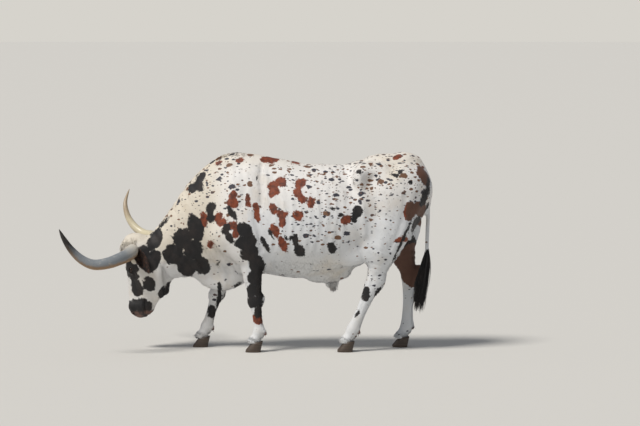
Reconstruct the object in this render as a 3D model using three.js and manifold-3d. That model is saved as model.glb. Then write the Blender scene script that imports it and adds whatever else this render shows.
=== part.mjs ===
// A life-size Texas longhorn bull, grazing: head down, near hind leg and far foreleg forward.
// Millimetres, +Z up, standing on Z = 0. The animal faces -X and its left side is towards -Y.
// The flesh is a field: lumps and tubes, named for muscles and bones, that melt into one another.
// Each piece of flesh is a loft whose rings are found by casting rays out to the field's surface.
import * as THREE from "three";
import { mergeVertices } from "three/addons/utils/BufferGeometryUtils.js";
import Module from "manifold-3d";

const wasm = await Module();
wasm.setup();

// Driving dimensions of the animal.
const chestWidth = 620;
const headLength = 562;
const hornRadius = 46;
const earLength = 180;
const eyeRadius = 20;
const clawHeight = 76;
const switchBottom = 236;
// Touching pieces keep this gap.
const gap = 0.3;

// Rows of numbers drawn through a smooth curve, with `steps` new rows in each span.
function smoothRows(rows, steps) {
  const out = [];
  for (let i = 0; i < rows.length - 1; i++) {
    const [p, a, b, n] = [rows[Math.max(i - 1, 0)], rows[i], rows[i + 1], rows[Math.min(i + 2, rows.length - 1)]];
    for (let s = 0; s < steps; s++) {
      const t = s / steps;
      out.push(
        a.map((v, j) => {
          const m0 = (b[j] - p[j]) / 2;
          const m1 = (n[j] - v) / 2;
          const t2 = t * t;
          const t3 = t2 * t;
          return (2 * t3 - 3 * t2 + 1) * v + (t3 - 2 * t2 + t) * m0 + (3 * t2 - 2 * t3) * b[j] + (t3 - t2) * m1;
        }),
      );
    }
  }
  out.push(rows[rows.length - 1]);
  return out;
}

// Roughly the distance from an offset (x, y, z) to an ellipsoid of radii (a, b, c), negative inside.
function ellipsoidDistance(x, y, z, a, b, c) {
  const k0 = Math.hypot(x / a, y / b, z / c);
  const k1 = Math.hypot(x / (a * a), y / (b * b), z / (c * c));
  return k1 < 1e-9 ? -Math.min(a, b, c) : (k0 * (k0 - 1)) / k1;
}

// A lump: an ellipsoid of radii (length, width, depth) whose length lies along `along`.
function lump(centre, radii, blend, along = [1, 0, 0], up = [0, 0, 1]) {
  const c = new THREE.Vector3(...centre);
  const e1 = new THREE.Vector3(...along).normalize();
  const e2 = new THREE.Vector3(...up).cross(e1).normalize();
  const e3 = e1.clone().cross(e2);
  const reach = Math.max(...radii) + 2 * blend;
  const d = new THREE.Vector3();
  return {
    blend,
    box: new THREE.Box3().setFromCenterAndSize(c, new THREE.Vector3(reach, reach, reach).multiplyScalar(2)),
    distance(p) {
      d.subVectors(p, c);
      return ellipsoidDistance(d.dot(e1), d.dot(e2), d.dot(e3), ...radii);
    },
  };
}

// A tube through rows of [x, y, z, up, down, side]: a centre and three radii, with `up` as its upper side.
function tube(rows, blend, up = [0, 0, 1], steps = 3) {
  const fine = smoothRows(rows, steps);
  const points = fine.map((r) => new THREE.Vector3(r[0], r[1], r[2]));
  const spans = [];
  const box = new THREE.Box3();
  for (let i = 0; i < points.length - 1; i++) {
    const t = points[i + 1].clone().sub(points[i]);
    const length = t.length();
    t.normalize();
    const side = t.clone().cross(new THREE.Vector3(...up)).normalize();
    spans.push({ at: points[i], t, length, side, up: side.clone().cross(t), a: fine[i], b: fine[i + 1] });
  }
  points.forEach((p, i) => {
    const r = Math.max(fine[i][3], fine[i][4], fine[i][5]) + 2 * blend;
    box.expandByPoint(p.clone().addScalar(r)).expandByPoint(p.clone().addScalar(-r));
  });
  const d = new THREE.Vector3();
  return {
    blend,
    box,
    distance(p) {
      let best = Infinity;
      for (const s of spans) {
        d.subVectors(p, s.at);
        const along = d.dot(s.t);
        const w = Math.min(Math.max(along / s.length, 0), 1);
        const [high, low, wide] = [3, 4, 5].map((j) => s.a[j] + w * (s.b[j] - s.a[j]));
        const above = d.dot(s.up);
        const tall = above > 0 ? high : low;
        const past = along - w * s.length;
        best = Math.min(best, ellipsoidDistance(d.dot(s.side), above, past, wide, tall, Math.min(tall, wide)));
      }
      return best;
    },
  };
}

// The same shape on the left and right sides of the plane y = 0.
function bothSides(make) {
  return [make(-1), make(1)];
}

// The smooth union of shapes at a point; each melts into those before it over its own blend length.
function fieldAt(shapes, p) {
  let f = 400;
  for (const s of shapes) {
    if (!s.box.containsPoint(p)) continue;
    const d = s.distance(p);
    const h = Math.max(s.blend - Math.abs(f - d), 0) / s.blend;
    f = Math.min(f, d) - (h * h * s.blend) / 4;
  }
  return f;
}

// Trunk: columns are x, top of the section, its widest level, bottom, and half width.
const halfChest = chestWidth / 2;
const trunkSections = [
  [700, 1296, 1170, 1050, 0.38],
  [640, 1402, 1170, 950, 0.58],
  [540, 1418, 1150, 850, 0.7],
  [400, 1420, 1080, 740, 0.78],
  [230, 1376, 960, 625, 0.88],
  [40, 1366, 900, 545, 1.0],
  [-160, 1369, 880, 525, 1.02],
  [-330, 1400, 900, 550, 0.93],
  [-500, 1418, 930, 580, 0.8],
  [-640, 1408, 950, 570, 0.68],
  [-740, 1330, 950, 600, 0.56],
];
const trunkTube = tube(
  trunkSections.map(([x, top, wide, bottom, w]) => [x, 0, wide, top - wide, wide - bottom, w * halfChest]),
  60,
);

// Neck: its axis slopes down to the head; up is the crest and down is the throat.
const neckTube = tube(
  [
    [-600, 0, 1040, 345, 330, 200],
    [-730, 0, 985, 345, 390, 185],
    [-900, 0, 880, 262, 335, 150],
    [-1050, 0, 785, 192, 265, 122],
    [-1180, 10, 715, 140, 205, 108],
    [-1280, 15, 690, 100, 150, 95],
  ],
  60,
);
const dewlap = tube(
  [
    [-1120, 8, 585, 60, 42, 42],
    [-1010, 4, 610, 70, 55, 34],
    [-900, 0, 600, 80, 66, 32],
    [-815, 0, 560, 90, 98, 34],
    [-720, 0, 530, 100, 100, 48],
    [-620, 0, 555, 80, 92, 72],
    [-500, 0, 620, 70, 70, 110],
  ],
  70,
);

// Bones and muscles that stand out on the trunk.
const trunkMuscles = [
  lump([-560, 0, 1345], [170, 62, 78], 90, [1, 0, -0.06]),
  lump([-725, 0, 1300], [150, 62, 80], 90, [1, 0, 0.55]),
  ...bothSides((s) => lump([-590, s * 182, 1090], [265, 62, 120], 90, [0.42, -s * 0.2, 1], [1, 0, 0])),
  ...bothSides((s) => lump([-545, s * 205, 850], [170, 78, 130], 70, [0.1, 0, 1], [1, 0, 0])),
  ...bothSides((s) => lump([-700, s * 175, 830], [90, 70, 95], 70)),
  ...bothSides((s) => lump([284, s * 200, 1268], [50, 42, 58], 60)),
  ...bothSides((s) => lump([385, s * 150, 1322], [110, 56, 46], 80, [1, 0, -0.1])),
  ...bothSides((s) => lump([716, s * 92, 1262], [46, 38, 40], 60)),
  lump([500, 0, 1385], [150, 70, 48], 60),
  lump([650, 0, 1402], [80, 50, 36], 50, [1, 0, -0.25]),
  ...bothSides((s) => lump([560, s * 150, 1150], [150, 100, 170], 90)),
  lump([70, 0, 545], [150, 62, 52], 70, [1, 0, 0.12]),
  lump([88, 0, 505], [44, 26, 34], 40, [0.5, 0, -1], [1, 0, 0]),
  ...bothSides((s) => lump([265, s * 200, 690], [110, 30, 55], 70, [1, 0, 0.35])),
];
const trunk = [trunkTube, ...trunkMuscles];
const neckAndBrisket = [neckTube, dewlap];

// The head has its own frame: x along the nose from the poll, y to its left, z out of the forehead.
// It hangs nose down, turned away by `headTwist` with its near side dropped by `headRoll`.
const headTwist = THREE.MathUtils.degToRad(17.7);
const headRoll = THREE.MathUtils.degToRad(8.9);
const headPitch = THREE.MathUtils.degToRad(2);
const poll = new THREE.Vector3(-1436, 6, 812);
const headFrame = new THREE.Matrix4().makeBasis(
  new THREE.Vector3(0, 0, -1),
  new THREE.Vector3(0, -1, 0),
  new THREE.Vector3(-1, 0, 0),
);
headFrame.premultiply(new THREE.Matrix4().makeRotationX(headRoll));
headFrame.premultiply(new THREE.Matrix4().makeRotationY(-headPitch));
headFrame.premultiply(new THREE.Matrix4().makeRotationZ(-headTwist));
headFrame.setPosition(poll);
const toHead = headFrame.clone().invert();

const faceTube = tube(
  [
    [42, 0, -96, 74, 90, 80],
    [100, 0, -120, 110, 120, 102],
    [195, 0, -140, 138, 138, 108],
    [290, 0, -146, 146, 150, 88],
    [375, 0, -122, 128, 142, 72],
    [450, 0, -96, 102, 122, 66],
    [512, 0, -82, 86, 92, 76],
    [headLength - 24, 0, -76, 56, 60, 60],
  ],
  40,
);
const faceMuscles = [
  lump([14, 0, -52], [42, 80, 44], 50),
  ...bothSides((s) => lump([48, s * 84, -58], [50, 42, 48], 40)),
  ...bothSides((s) => lump([172, s * 92, -52], [58, 24, 30], 34)),
  ...bothSides((s) => lump([262, s * 66, -205], [118, 40, 92], 50, [1, 0, 0.1])),
  ...bothSides((s) => lump([366, s * 48, -252], [76, 34, 46], 50)),
  ...bothSides((s) => lump([500, s * 52, -42], [38, 30, 34], 26)),
  ...bothSides((s) => lump([506, s * 50, -100], [46, 28, 28], 26)),
  lump([530, 0, -56], [34, 56, 36], 26),
  lump([508, 0, -158], [48, 44, 26], 26),
];
const head = [faceTube, ...faceMuscles];
// The head's shapes as seen from the world, so that the neck can melt into them.
const headInWorld = {
  blend: 60,
  box: new THREE.Box3(new THREE.Vector3(-1600, -330, 150), new THREE.Vector3(-900, 330, 980)),
  distance: (p) => fieldAt(head, p.clone().applyMatrix4(toHead)),
};

// Legs: joints from the top down, in the stride that the animal stands in.
// Radii rows are [share of the bone's length, fore, aft, side].
const foreBones = [
  [[0, 120, 110, 64], [0.6, 116, 114, 78]],
  [[0, 96, 92, 74], [0.35, 80, 70, 62], [0.78, 54, 52, 47]],
  [[0, 60, 56, 50], [0.2, 41, 43, 38], [0.55, 34, 36, 31], [0.85, 37, 41, 35]],
  [[0, 46, 51, 43], [0.5, 38, 40, 41]],
];
const hindBones = [
  [[0, 130, 140, 62], [0.5, 172, 168, 96]],
  [[0, 140, 140, 92], [0.35, 96, 100, 74], [0.75, 62, 66, 50]],
  [[0, 66, 72, 50], [0.22, 50, 48, 40], [0.55, 39, 39, 33], [0.85, 41, 44, 37]],
  [[0, 48, 53, 45], [0.5, 41, 43, 43]],
];
const coronetRadii = [50, 48, 58];
const legs = {
  foreleg_left: {
    bones: foreBones,
    joints: [[-640, -178, 890], [-500, -192, 690], [-470, -172, 368], [-446, -170, 150], [-478, -170, 74]],
  },
  foreleg_right: {
    bones: foreBones,
    joints: [[-670, 178, 890], [-618, 192, 700], [-768, 172, 382], [-838, 168, 152], [-876, 168, 74]],
  },
  hindleg_left: {
    bones: hindBones,
    joints: [[560, -140, 1080], [452, -168, 770], [388, -162, 496], [236, -158, 158], [190, -158, 74]],
  },
  hindleg_right: {
    bones: hindBones,
    joints: [[590, 140, 1080], [575, 168, 780], [662, 162, 522], [640, 160, 158], [598, 160, 74]],
  },
};
const boneBetween = (a, b, t) => a.map((v, j) => v + t * (b[j] - v));
for (const [name, leg] of Object.entries(legs)) {
  leg.rows = [];
  leg.bones.forEach((rows, i) =>
    rows.forEach(([t, ...radii]) => leg.rows.push([...boneBetween(leg.joints[i], leg.joints[i + 1], t), ...radii])),
  );
  const foot = leg.joints[4];
  leg.rows.push([...foot, ...coronetRadii]);
  leg.field = [tube(leg.rows, 70, [-1, 0, 0])];
  const near = ([x, y, z], dx, dy, dz) => [x + dx, y + dy, z + dz];
  const [, elbow, third, fetlock] = leg.joints;
  if (name.startsWith("hind")) {
    // The point of the hock.
    leg.field.push(lump(near(third, 62, 0, 38), [52, 24, 26], 34, [0.25, 0, 1], [1, 0, 0]));
  } else {
    // The small bone behind the knee, and the point of the elbow.
    leg.field.push(lump(near(third, 44, 0, 22), [34, 22, 20], 30, [0, 0, 1], [1, 0, 0]));
    leg.field.push(lump(near(elbow, 62, 0, 40), [60, 34, 34], 50, [-0.3, 0, 1], [1, 0, 0]));
  }
  // Dewclaws behind the fetlock.
  leg.field.push(...bothSides((s) => lump(near(fetlock, 46, 21 * s, -10), [25, 12, 12], 8, [0.3, 0, -1], [1, 0, 0])));
}
const everyLeg = Object.values(legs).flatMap((leg) => leg.field);
const flesh = [...trunk, ...neckAndBrisket, headInWorld, ...everyLeg];

// How far a ray from `from` along `way` runs before it leaves the field.
function rayOut(shapes, from, way, limit) {
  const p = new THREE.Vector3();
  const inside = (r) => fieldAt(shapes, p.copy(from).addScaledVector(way, r)) < 0;
  const stride = 9;
  let r = 0;
  while (r < limit && inside(r + stride)) r += stride;
  let step = stride / 2;
  for (let i = 0; i < 9; i++, step /= 2) if (inside(r + step)) r += step;
  return Math.min(r, limit);
}

// A closed mesh from rings of points, each as long as the next, with a point at either end.
function skinOfRings(rings, start, end) {
  const n = rings[0].length;
  const at = [start, ...rings.flat(), end].flatMap((p) => [p.x, p.y, p.z]);
  const faces = [];
  const last = rings.length * n + 1;
  for (let j = 0; j < n; j++) {
    const k = (j + 1) % n;
    faces.push(0, 1 + k, 1 + j);
    for (let i = 0; i < rings.length - 1; i++) {
      const [a, b, c, d] = [1 + i * n + j, 1 + i * n + k, 1 + (i + 1) * n + j, 1 + (i + 1) * n + k];
      faces.push(a, b, d, a, d, c);
    }
    faces.push(last, last - n + j, last - n + k);
  }
  const g = new THREE.BufferGeometry();
  g.setAttribute("position", new THREE.Float32BufferAttribute(at, 3));
  g.setIndex(faces);
  return g;
}

// Rays in one plane: `up` is the first ray, and they turn towards `side`.
function castRing({ at, up, side, sides, own, all = own, fillet = 0, grow = 0, limit = 700 }) {
  const ring = [];
  for (let j = 0; j < sides; j++) {
    const angle = (2 * Math.PI * j) / sides;
    const way = up.clone().multiplyScalar(Math.cos(angle)).addScaledVector(side, Math.sin(angle)).normalize();
    let r = rayOut(own, at, way, limit);
    if (all !== own) r = Math.min(rayOut(all, at, way, limit), r + fillet);
    ring.push(at.clone().addScaledVector(way, r + grow));
  }
  return ring;
}

// Solids: a geometry as a manifold, and back.
function solid(geometry) {
  const g = geometry.clone();
  for (const name of Object.keys(g.attributes)) if (name !== "position") g.deleteAttribute(name);
  const merged = mergeVertices(g, 1e-3);
  return new wasm.Manifold(
    new wasm.Mesh({
      numProp: 3,
      vertProperties: new Float32Array(merged.attributes.position.array),
      triVerts: new Uint32Array(merged.index.array),
    }),
  );
}
function largest(made) {
  return made.decompose().reduce((a, b) => (b.volume() > a.volume() ? b : a));
}
function geometryOf(made) {
  const m = made.getMesh();
  const g = new THREE.BufferGeometry();
  g.setAttribute("position", new THREE.Float32BufferAttribute(m.vertProperties, 3));
  g.setIndex(new THREE.BufferAttribute(m.triVerts, 1));
  return g;
}
const joined = (first, ...others) => others.reduce((a, b) => a.add(b), first);
const cutBy = (first, ...others) => others.reduce((a, b) => a.subtract(b), first);

// Trunk sections fan forward from the rump to the nape: [bottom x, bottom z, top x, top z].
const fan = [
  [768, 1010, 776, 1330],
  [712, 900, 735, 1400],
  [640, 800, 665, 1440],
  [560, 700, 580, 1440],
  [470, 650, 480, 1440],
  [380, 620, 385, 1440],
  [290, 600, 290, 1400],
  [190, 530, 190, 1400],
  [100, 480, 100, 1400],
  [0, 500, 0, 1400],
  [-100, 520, -110, 1400],
  [-200, 520, -220, 1400],
  [-300, 540, -330, 1400],
  [-390, 560, -440, 1420],
  [-470, 560, -540, 1420],
  [-540, 520, -640, 1420],
  [-600, 470, -730, 1390],
  [-655, 430, -815, 1330],
  [-715, 425, -900, 1250],
  [-775, 440, -975, 1160],
  [-830, 470, -1045, 1070],
  [-885, 520, -1110, 985],
  [-940, 540, -1170, 915],
  [-1000, 550, -1225, 860],
];
const neckCut = 17;
const trunkSides = 30;
const axisRise = 0.52;
function fanRing(i, grow, offset = 0) {
  const [x0, z0, x1, z1] = fan[i];
  const up = new THREE.Vector3(x1 - x0, 0, z1 - z0);
  const at = new THREE.Vector3(x0, 0, z0).addScaledVector(up, axisRise);
  up.normalize();
  at.addScaledVector(new THREE.Vector3(-up.z, 0, up.x), offset);
  const neck = i > neckCut;
  return {
    at,
    ring: castRing({
      at,
      up,
      side: new THREE.Vector3(0, 1, 0),
      sides: trunkSides,
      own: [...trunk, ...neckAndBrisket],
      all: neck ? [...trunk, ...neckAndBrisket, headInWorld] : undefined,
      fillet: 25,
      grow,
    }),
  };
}
function torsoLoft(grow) {
  const rings = [];
  for (let i = 0; i <= neckCut; i++) rings.push(fanRing(i, grow, i === neckCut ? grow : 0));
  const rump = rings[0].at.clone();
  rump.x += rayOut(trunk, rump, new THREE.Vector3(1, 0, 0), 200) + grow;
  return solid(skinOfRings(rings.map((r) => r.ring), rump, rings[neckCut].at));
}
function neckLoft(grow) {
  const rings = [fanRing(neckCut, grow, gap - grow)];
  for (let i = neckCut + 1; i < fan.length; i++) rings.push(fanRing(i, grow));
  // The last ring lies inside the head.
  const last = rings[rings.length - 1];
  const inner = last.ring.map((p) => p.clone().lerp(last.at, 0.35).add(new THREE.Vector3(-60, 6, -30)));
  const centre = inner.reduce((a, p) => a.add(p), new THREE.Vector3()).divideScalar(inner.length);
  return solid(skinOfRings([...rings.map((r) => r.ring), inner], rings[0].at, centre));
}

// Head: rings square to the nose, closer together at the muzzle.
const headStations = [
  22, 34, 48, 66, 90, 115, 140, 162, 184, 206, 230, 256, 284, 312, 340, 368, 396, 422, 446, 466, 484, 500, 516, 531, 545,
  555,
];
function headLoft(grow) {
  const rings = headStations.map((x) => {
    const rise = x < 60 ? -70 : x > 430 ? -90 : -120;
    return castRing({
      at: new THREE.Vector3(x, 0, rise),
      up: new THREE.Vector3(0, 0, 1),
      side: new THREE.Vector3(0, -1, 0),
      sides: 30,
      own: head,
      grow,
      limit: 320,
    });
  });
  const back = new THREE.Vector3(headStations[0], 0, -70);
  back.x -= rayOut(head, back, new THREE.Vector3(-1, 0, 0), 100) + grow;
  const front = new THREE.Vector3(headStations[headStations.length - 1], 0, -90);
  front.x += rayOut(head, front, new THREE.Vector3(1, 0, 0), 100) + grow;
  return solid(skinOfRings(rings, back, front)).transform(headFrame.elements);
}
const inHead = (...p) => new THREE.Vector3(...p).applyMatrix4(headFrame);

// A leg: rings square to its bones, from inside the trunk down to the coronet.
const legSides = 16;
function legLoft(leg, trunkField, grow) {
  const line = smoothRows(leg.rows, 2);
  const own = leg.field;
  const rings = [];
  line.forEach((row, i) => {
    const [a, b] = [line[Math.max(i - 1, 0)], line[Math.min(i + 1, line.length - 1)]];
    const way = new THREE.Vector3(b[0] - a[0], b[1] - a[1], b[2] - a[2]).normalize();
    if (i === line.length - 1) way.set(0, 0, -1);
    const side = new THREE.Vector3(0, 1, 0);
    const up = way.clone().cross(side).negate().normalize();
    const at = new THREE.Vector3(row[0], row[1], row[2]);
    const all = [...own, ...trunkField];
    rings.push(castRing({ at, up, side, sides: legSides, own, all, fillet: 16, grow, limit: 260 }));
  });
  const first = new THREE.Vector3(...line[0]);
  const last = new THREE.Vector3(...leg.joints[4]);
  rings[rings.length - 1].forEach((p) => (p.z = clawHeight - 12));
  last.z = clawHeight - 12;
  // The foot ends in a flat face just over the claws.
  return solid(skinOfRings(rings, first, last)).trimByPlane([0, 0, 1], clawHeight + gap);
}

// A cloven hoof: two claws side by side, each a D in plan, flat on the ground and leaning back to the coronet.
function clawLoft(foot, side) {
  const ahead = 66;
  const behind = 46;
  const half = 29;
  const apart = 4;
  const levels = [
    [0, 0, 1],
    [0.16, -2, 1.02],
    [0.55, 4, 0.94],
    [1, 13, 0.82],
  ];
  const sides = 12;
  const rings = levels.map(([rise, back, scale]) => {
    const ring = [];
    for (let j = 0; j < sides; j++) {
      const angle = (2 * Math.PI * j) / sides;
      const fore = Math.cos(angle);
      const x = foot[0] + back * 1.6 - fore * scale * (fore > 0 ? ahead * (1 - 0.4 * rise) : behind) + 4;
      const inward = Math.sin(angle) * side < 0;
      const y = foot[1] + side * (apart + half) + Math.sin(angle) * half * scale * (inward ? 0.98 : 1.04);
      ring.push(new THREE.Vector3(x, y, rise * clawHeight));
    }
    return ring;
  });
  const middle = (ring) => ring.reduce((a, p) => a.add(p), new THREE.Vector3()).divideScalar(ring.length);
  return solid(skinOfRings(rings.reverse(), middle(rings[0]), middle(rings[rings.length - 1])));
}

// A round tapering rod through points, with its radius from `radiusAt(t)`.
function rodLoft(points, radiusAt, sides, steps, grow = 0) {
  const curve = new THREE.CatmullRomCurve3(points);
  const frames = curve.computeFrenetFrames(steps, false);
  const rings = [];
  for (let i = 0; i < steps; i++) {
    const t = i / steps;
    const at = curve.getPointAt(t);
    const ring = [];
    for (let j = 0; j < sides; j++) {
      const angle = (2 * Math.PI * j) / sides;
      const r = radiusAt(t) + grow;
      ring.push(
        at
          .clone()
          .addScaledVector(frames.normals[i], r * Math.cos(angle))
          .addScaledVector(frames.binormals[i], r * Math.sin(angle)),
      );
    }
    rings.push(ring);
  }
  const start = curve.getPointAt(0).addScaledVector(curve.getTangentAt(0), -grow);
  return outward(solid(skinOfRings(rings, start, curve.getPointAt(1))), rings, start, curve.getPointAt(1));
}
function outward(made, rings, start, end) {
  return made.volume() > 0 ? made : solid(skinOfRings(rings.map((r) => [...r].reverse()), start, end));
}

// Horns: out sideways, then forward, then up, in the head's frame; `s` is 1 for the left horn.
function hornLoft(s, grow) {
  const points = [
    [64, 62, -89],
    [66, 223, -122],
    [69, 356, -100],
    [78, 454, -39],
    [74, 506, 46],
    [26, 533, 125],
    [-53, 561, 183],
    [-144, 609, 210],
    [-230, 693, 201],
  ].map(([x, y, z]) => inHead(x, s * y, z));
  // The right horn is a little slimmer than the left.
  const root = s > 0 ? hornRadius : hornRadius * 0.86;
  const radiusAt = (t) => root * Math.pow(1 - Math.pow(t, 2.2), 0.8) + 1;
  return rodLoft(points, radiusAt, 12, 26, grow);
}

// Ears: a leaf rolled into a cup, hanging behind the horn; each ring is its outer arc and its inner arc.
function earLoft(s) {
  const root = new THREE.Vector3(80, s * 112, -140);
  const way = new THREE.Vector3(0.7, s * 0.38, -0.56).normalize();
  const open = new THREE.Vector3(-0.2, s * 0.95, 0.25).normalize();
  const across = way.clone().cross(open).normalize();
  open.crossVectors(across, way).normalize();
  const stations = 9;
  const arc = 9;
  const rings = [];
  for (let i = 0; i < stations; i++) {
    const t = i / (stations - 1);
    const width = 50 * Math.sin(Math.PI * Math.min(0.2 + 0.8 * t, 0.965)) ** 0.75 * (1 - 0.25 * t);
    const curl = 2.5 - 1.1 * t;
    const thick = 9 - 5 * t;
    const ring = [];
    for (const inner of [0, 1]) {
      for (let j = 0; j < arc; j++) {
        const share = inner ? 1 - j / (arc - 1) : j / (arc - 1);
        const angle = (share - 0.5) * curl;
        const r = width / Math.sin(Math.min(curl / 2, Math.PI / 2));
        const deep = inner * thick * (0.35 + 0.65 * Math.sin(Math.PI * Math.min(Math.max(share, 0.08), 0.92)));
        const p = root.clone().addScaledVector(way, t * earLength - 16 * (1 - t));
        p.addScaledVector(across, (r - deep) * Math.sin(angle));
        p.addScaledVector(open, r * (Math.cos(curl / 2) * 0.5 + 0.25) - (r - deep) * Math.cos(angle));
        ring.push(p.applyMatrix4(headFrame));
      }
    }
    rings.push(ring);
  }
  const middle = (ring) => ring.reduce((a, p) => a.add(p), new THREE.Vector3()).divideScalar(ring.length);
  const [start, end] = [middle(rings[0]), middle(rings[stations - 1])];
  return outward(solid(skinOfRings(rings, start, end)), rings, start, end);
}

// Eyes and lids.
const eyeAt = (s) => inHead(212, s * 96, -74);
function ball(at, radius, wide = 14, high = 10) {
  return solid(new THREE.SphereGeometry(radius, wide, high).translate(at.x, at.y, at.z));
}
function lids(s) {
  const lid = new THREE.TorusGeometry(eyeRadius * 0.92, 6.5, 6, 16);
  lid.scale(1.22, 0.86, 0.9);
  lid.applyMatrix4(new THREE.Matrix4().makeRotationX((-s * Math.PI) / 2));
  lid.translate(212, s * 109, -72);
  return solid(lid.applyMatrix4(headFrame));
}

// Cutters for the nostrils and the line of the mouth.
function nostril(s) {
  const g = new THREE.SphereGeometry(1, 10, 8);
  g.scale(20, 9, 13);
  g.rotateY(0.5);
  g.translate(530, s * 44, -52);
  return solid(g.applyMatrix4(headFrame));
}
function mouthLine() {
  const shape = new THREE.Shape();
  shape.moveTo(440, -128);
  shape.quadraticCurveTo(500, -146, headLength + 30, -128);
  shape.lineTo(headLength + 30, -135);
  shape.quadraticCurveTo(500, -153, 440, -131);
  const depth = 240;
  const g = new THREE.ExtrudeGeometry(shape, { depth, bevelEnabled: false, curveSegments: 5 });
  g.rotateX(Math.PI / 2).translate(0, depth / 2, 0);
  const core = new THREE.SphereGeometry(1, 12, 8).scale(120, 58, 50).translate(430, 0, -140);
  return cutBy(solid(g.applyMatrix4(headFrame)), solid(core.applyMatrix4(headFrame)));
}

// A lock of hair: a flat, tapering, bending strip of three sides, from its root along `way`.
function lock(root, way, length, width, thick, bend) {
  const side = way.clone().cross(bend).normalize();
  if (side.lengthSq() < 0.5) side.set(0, 1, 0);
  const out = side.clone().cross(way).normalize();
  const steps = 3;
  const rings = [];
  for (let i = 0; i < steps; i++) {
    const t = i / steps;
    const at = root.clone().addScaledVector(way, t * length).addScaledVector(bend, t * t * length * 0.25);
    const w = width * (1 - 0.55 * t * t);
    const h = thick * (1 - 0.5 * t);
    rings.push([
      at.clone().addScaledVector(side, w),
      at.clone().addScaledVector(out, h),
      at.clone().addScaledVector(side, -w),
      at.clone().addScaledVector(out, -h),
    ]);
  }
  const tip = root.clone().addScaledVector(way, length).addScaledVector(bend, length * 0.25);
  return outward(solid(skinOfRings(rings, root, tip)), rings, root, tip);
}
function seeded(seed) {
  let state = seed;
  return () => {
    state = (state * 1664525 + 1013904223) % 4294967296;
    return state / 4294967296;
  };
}

// Tail: the dock hangs from the rump; the switch of long hair hangs from the dock.
const tailPoints = [
  [610, 0, 1388],
  [700, 0, 1380],
  [758, 0, 1300],
  [781, 0, 1180],
  [790, 0, 1010],
  [786, -2, 850],
  [780, -4, 700],
].map((p) => new THREE.Vector3(...p));
const tailRadius = (t) => 40 - 22 * Math.min(t * 1.5, 1) - 3 * t;
function switchOfHair() {
  const random = seeded(11);
  const top = new THREE.Vector3(779, -4, 700 - gap);
  const core = rodLoft(
    [top, new THREE.Vector3(765, -4, 560), new THREE.Vector3(745, -4, 440), new THREE.Vector3(735, -4, 380)],
    (t) => 17 + 12 * Math.sin(Math.PI * Math.min(t + 0.15, 1)) - 9 * t,
    10,
    8,
  );
  const locks = [];
  const count = 30;
  for (let i = 0; i < count; i++) {
    const drop = i / count;
    const angle = i * 2.4;
    const ray = new THREE.Vector3(Math.cos(angle), Math.sin(angle), 0);
    const root = new THREE.Vector3(778 - 38 * drop, -4, 670 - 270 * drop).addScaledVector(ray, 11);
    const end = new THREE.Vector3(712, -4, switchBottom).addScaledVector(ray, 16 + 18 * random());
    end.z += (1 - drop) * 150 + 40 * random();
    const way = end.clone().sub(root);
    const length = way.length();
    locks.push(lock(root, way.normalize(), length, 15, 6, ray.clone().multiplyScalar(0.3 * (1 - drop) + 0.05)));
  }
  return largest(joined(core, ...locks));
}
// The tuft of coarse hair on the poll falls forward and to the sides.
function pollTuft() {
  const random = seeded(5);
  const locks = [];
  const count = 18;
  for (let i = 0; i < count; i++) {
    const across = (i / (count - 1) - 0.5) * 2;
    const root = new THREE.Vector3(2 + 24 * (i % 3), across * 62, -36 + 10 * (i % 3));
    const way = new THREE.Vector3(0.3 + 0.35 * (i % 3), across * 0.6, 0.5).normalize();
    const bend = new THREE.Vector3(1, 0.2 * (random() - 0.5), 0);
    locks.push(
      lock(
        root.applyMatrix4(headFrame),
        way.transformDirection(headFrame),
        42 + 14 * random(),
        13,
        6,
        bend.transformDirection(headFrame),
      ),
    );
  }
  return locks;
}

// Assembly: every piece with its gap to the next.
const colours = {
  white: 0xe9e4da,
  cream: 0xd8c7a6,
  black: 0x1b1817,
  brown: 0x6e3a22,
  horn: 0xb9b09a,
  claw: 0x3a322b,
  eye: 0x120d0a,
};
const group = new THREE.Group();
function piece(name, made, colour, roughness = 0.85) {
  const material = new THREE.MeshStandardMaterial({ color: colour, roughness, metalness: 0 });
  const mesh = new THREE.Mesh(geometryOf(made), material);
  mesh.name = name;
  group.add(mesh);
}

const torsoWhole = torsoLoft(0);
const torsoGrown = torsoLoft(gap);
const neckGrown = neckLoft(gap);
const headWhole = headLoft(0);
const headGrown = headLoft(gap);
const tail = rodLoft(tailPoints, tailRadius, 12, 18);
const tailGrown = rodLoft(tailPoints, tailRadius, 12, 18, gap);
const horns = [1, -1].map((s) => hornLoft(s, 0));
const hornPockets = [1, -1].map((s) => hornLoft(s, gap));
const ears = [1, -1].map((s) => earLoft(s));
const eyes = [1, -1].map((s) => ball(eyeAt(s), eyeRadius));
const eyePockets = [1, -1].map((s) => ball(eyeAt(s), eyeRadius + 2 * gap));

const neck = cutBy(neckLoft(0), headGrown);
piece("torso", largest(cutBy(torsoWhole, tailGrown)), colours.white);
const legSolids = {};
for (const [name, leg] of Object.entries(legs)) {
  legSolids[name] = largest(cutBy(legLoft(leg, trunk, 0), torsoGrown));
}
const foreGrown = [legs.foreleg_right, legs.foreleg_left].map((leg) => legLoft(leg, trunk, gap));
piece("neck", largest(cutBy(neck, ...foreGrown, ...hornPockets)), colours.cream);
const headSolid = cutBy(
  joined(headWhole, lids(1), lids(-1), ...pollTuft()),
  ...hornPockets,
  ...eyePockets,
  nostril(1),
  nostril(-1),
  mouthLine(),
);
piece("head", largest(headSolid), colours.white);
["left", "right"].forEach((which, i) => {
  piece("horn_" + which, horns[i], colours.horn, 0.45);
  piece("ear_" + which, largest(cutBy(ears[i], headGrown, neckGrown, hornPockets[i])), colours.brown);
  piece("eye_" + which, eyes[i], colours.eye, 0.15);
});
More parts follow.
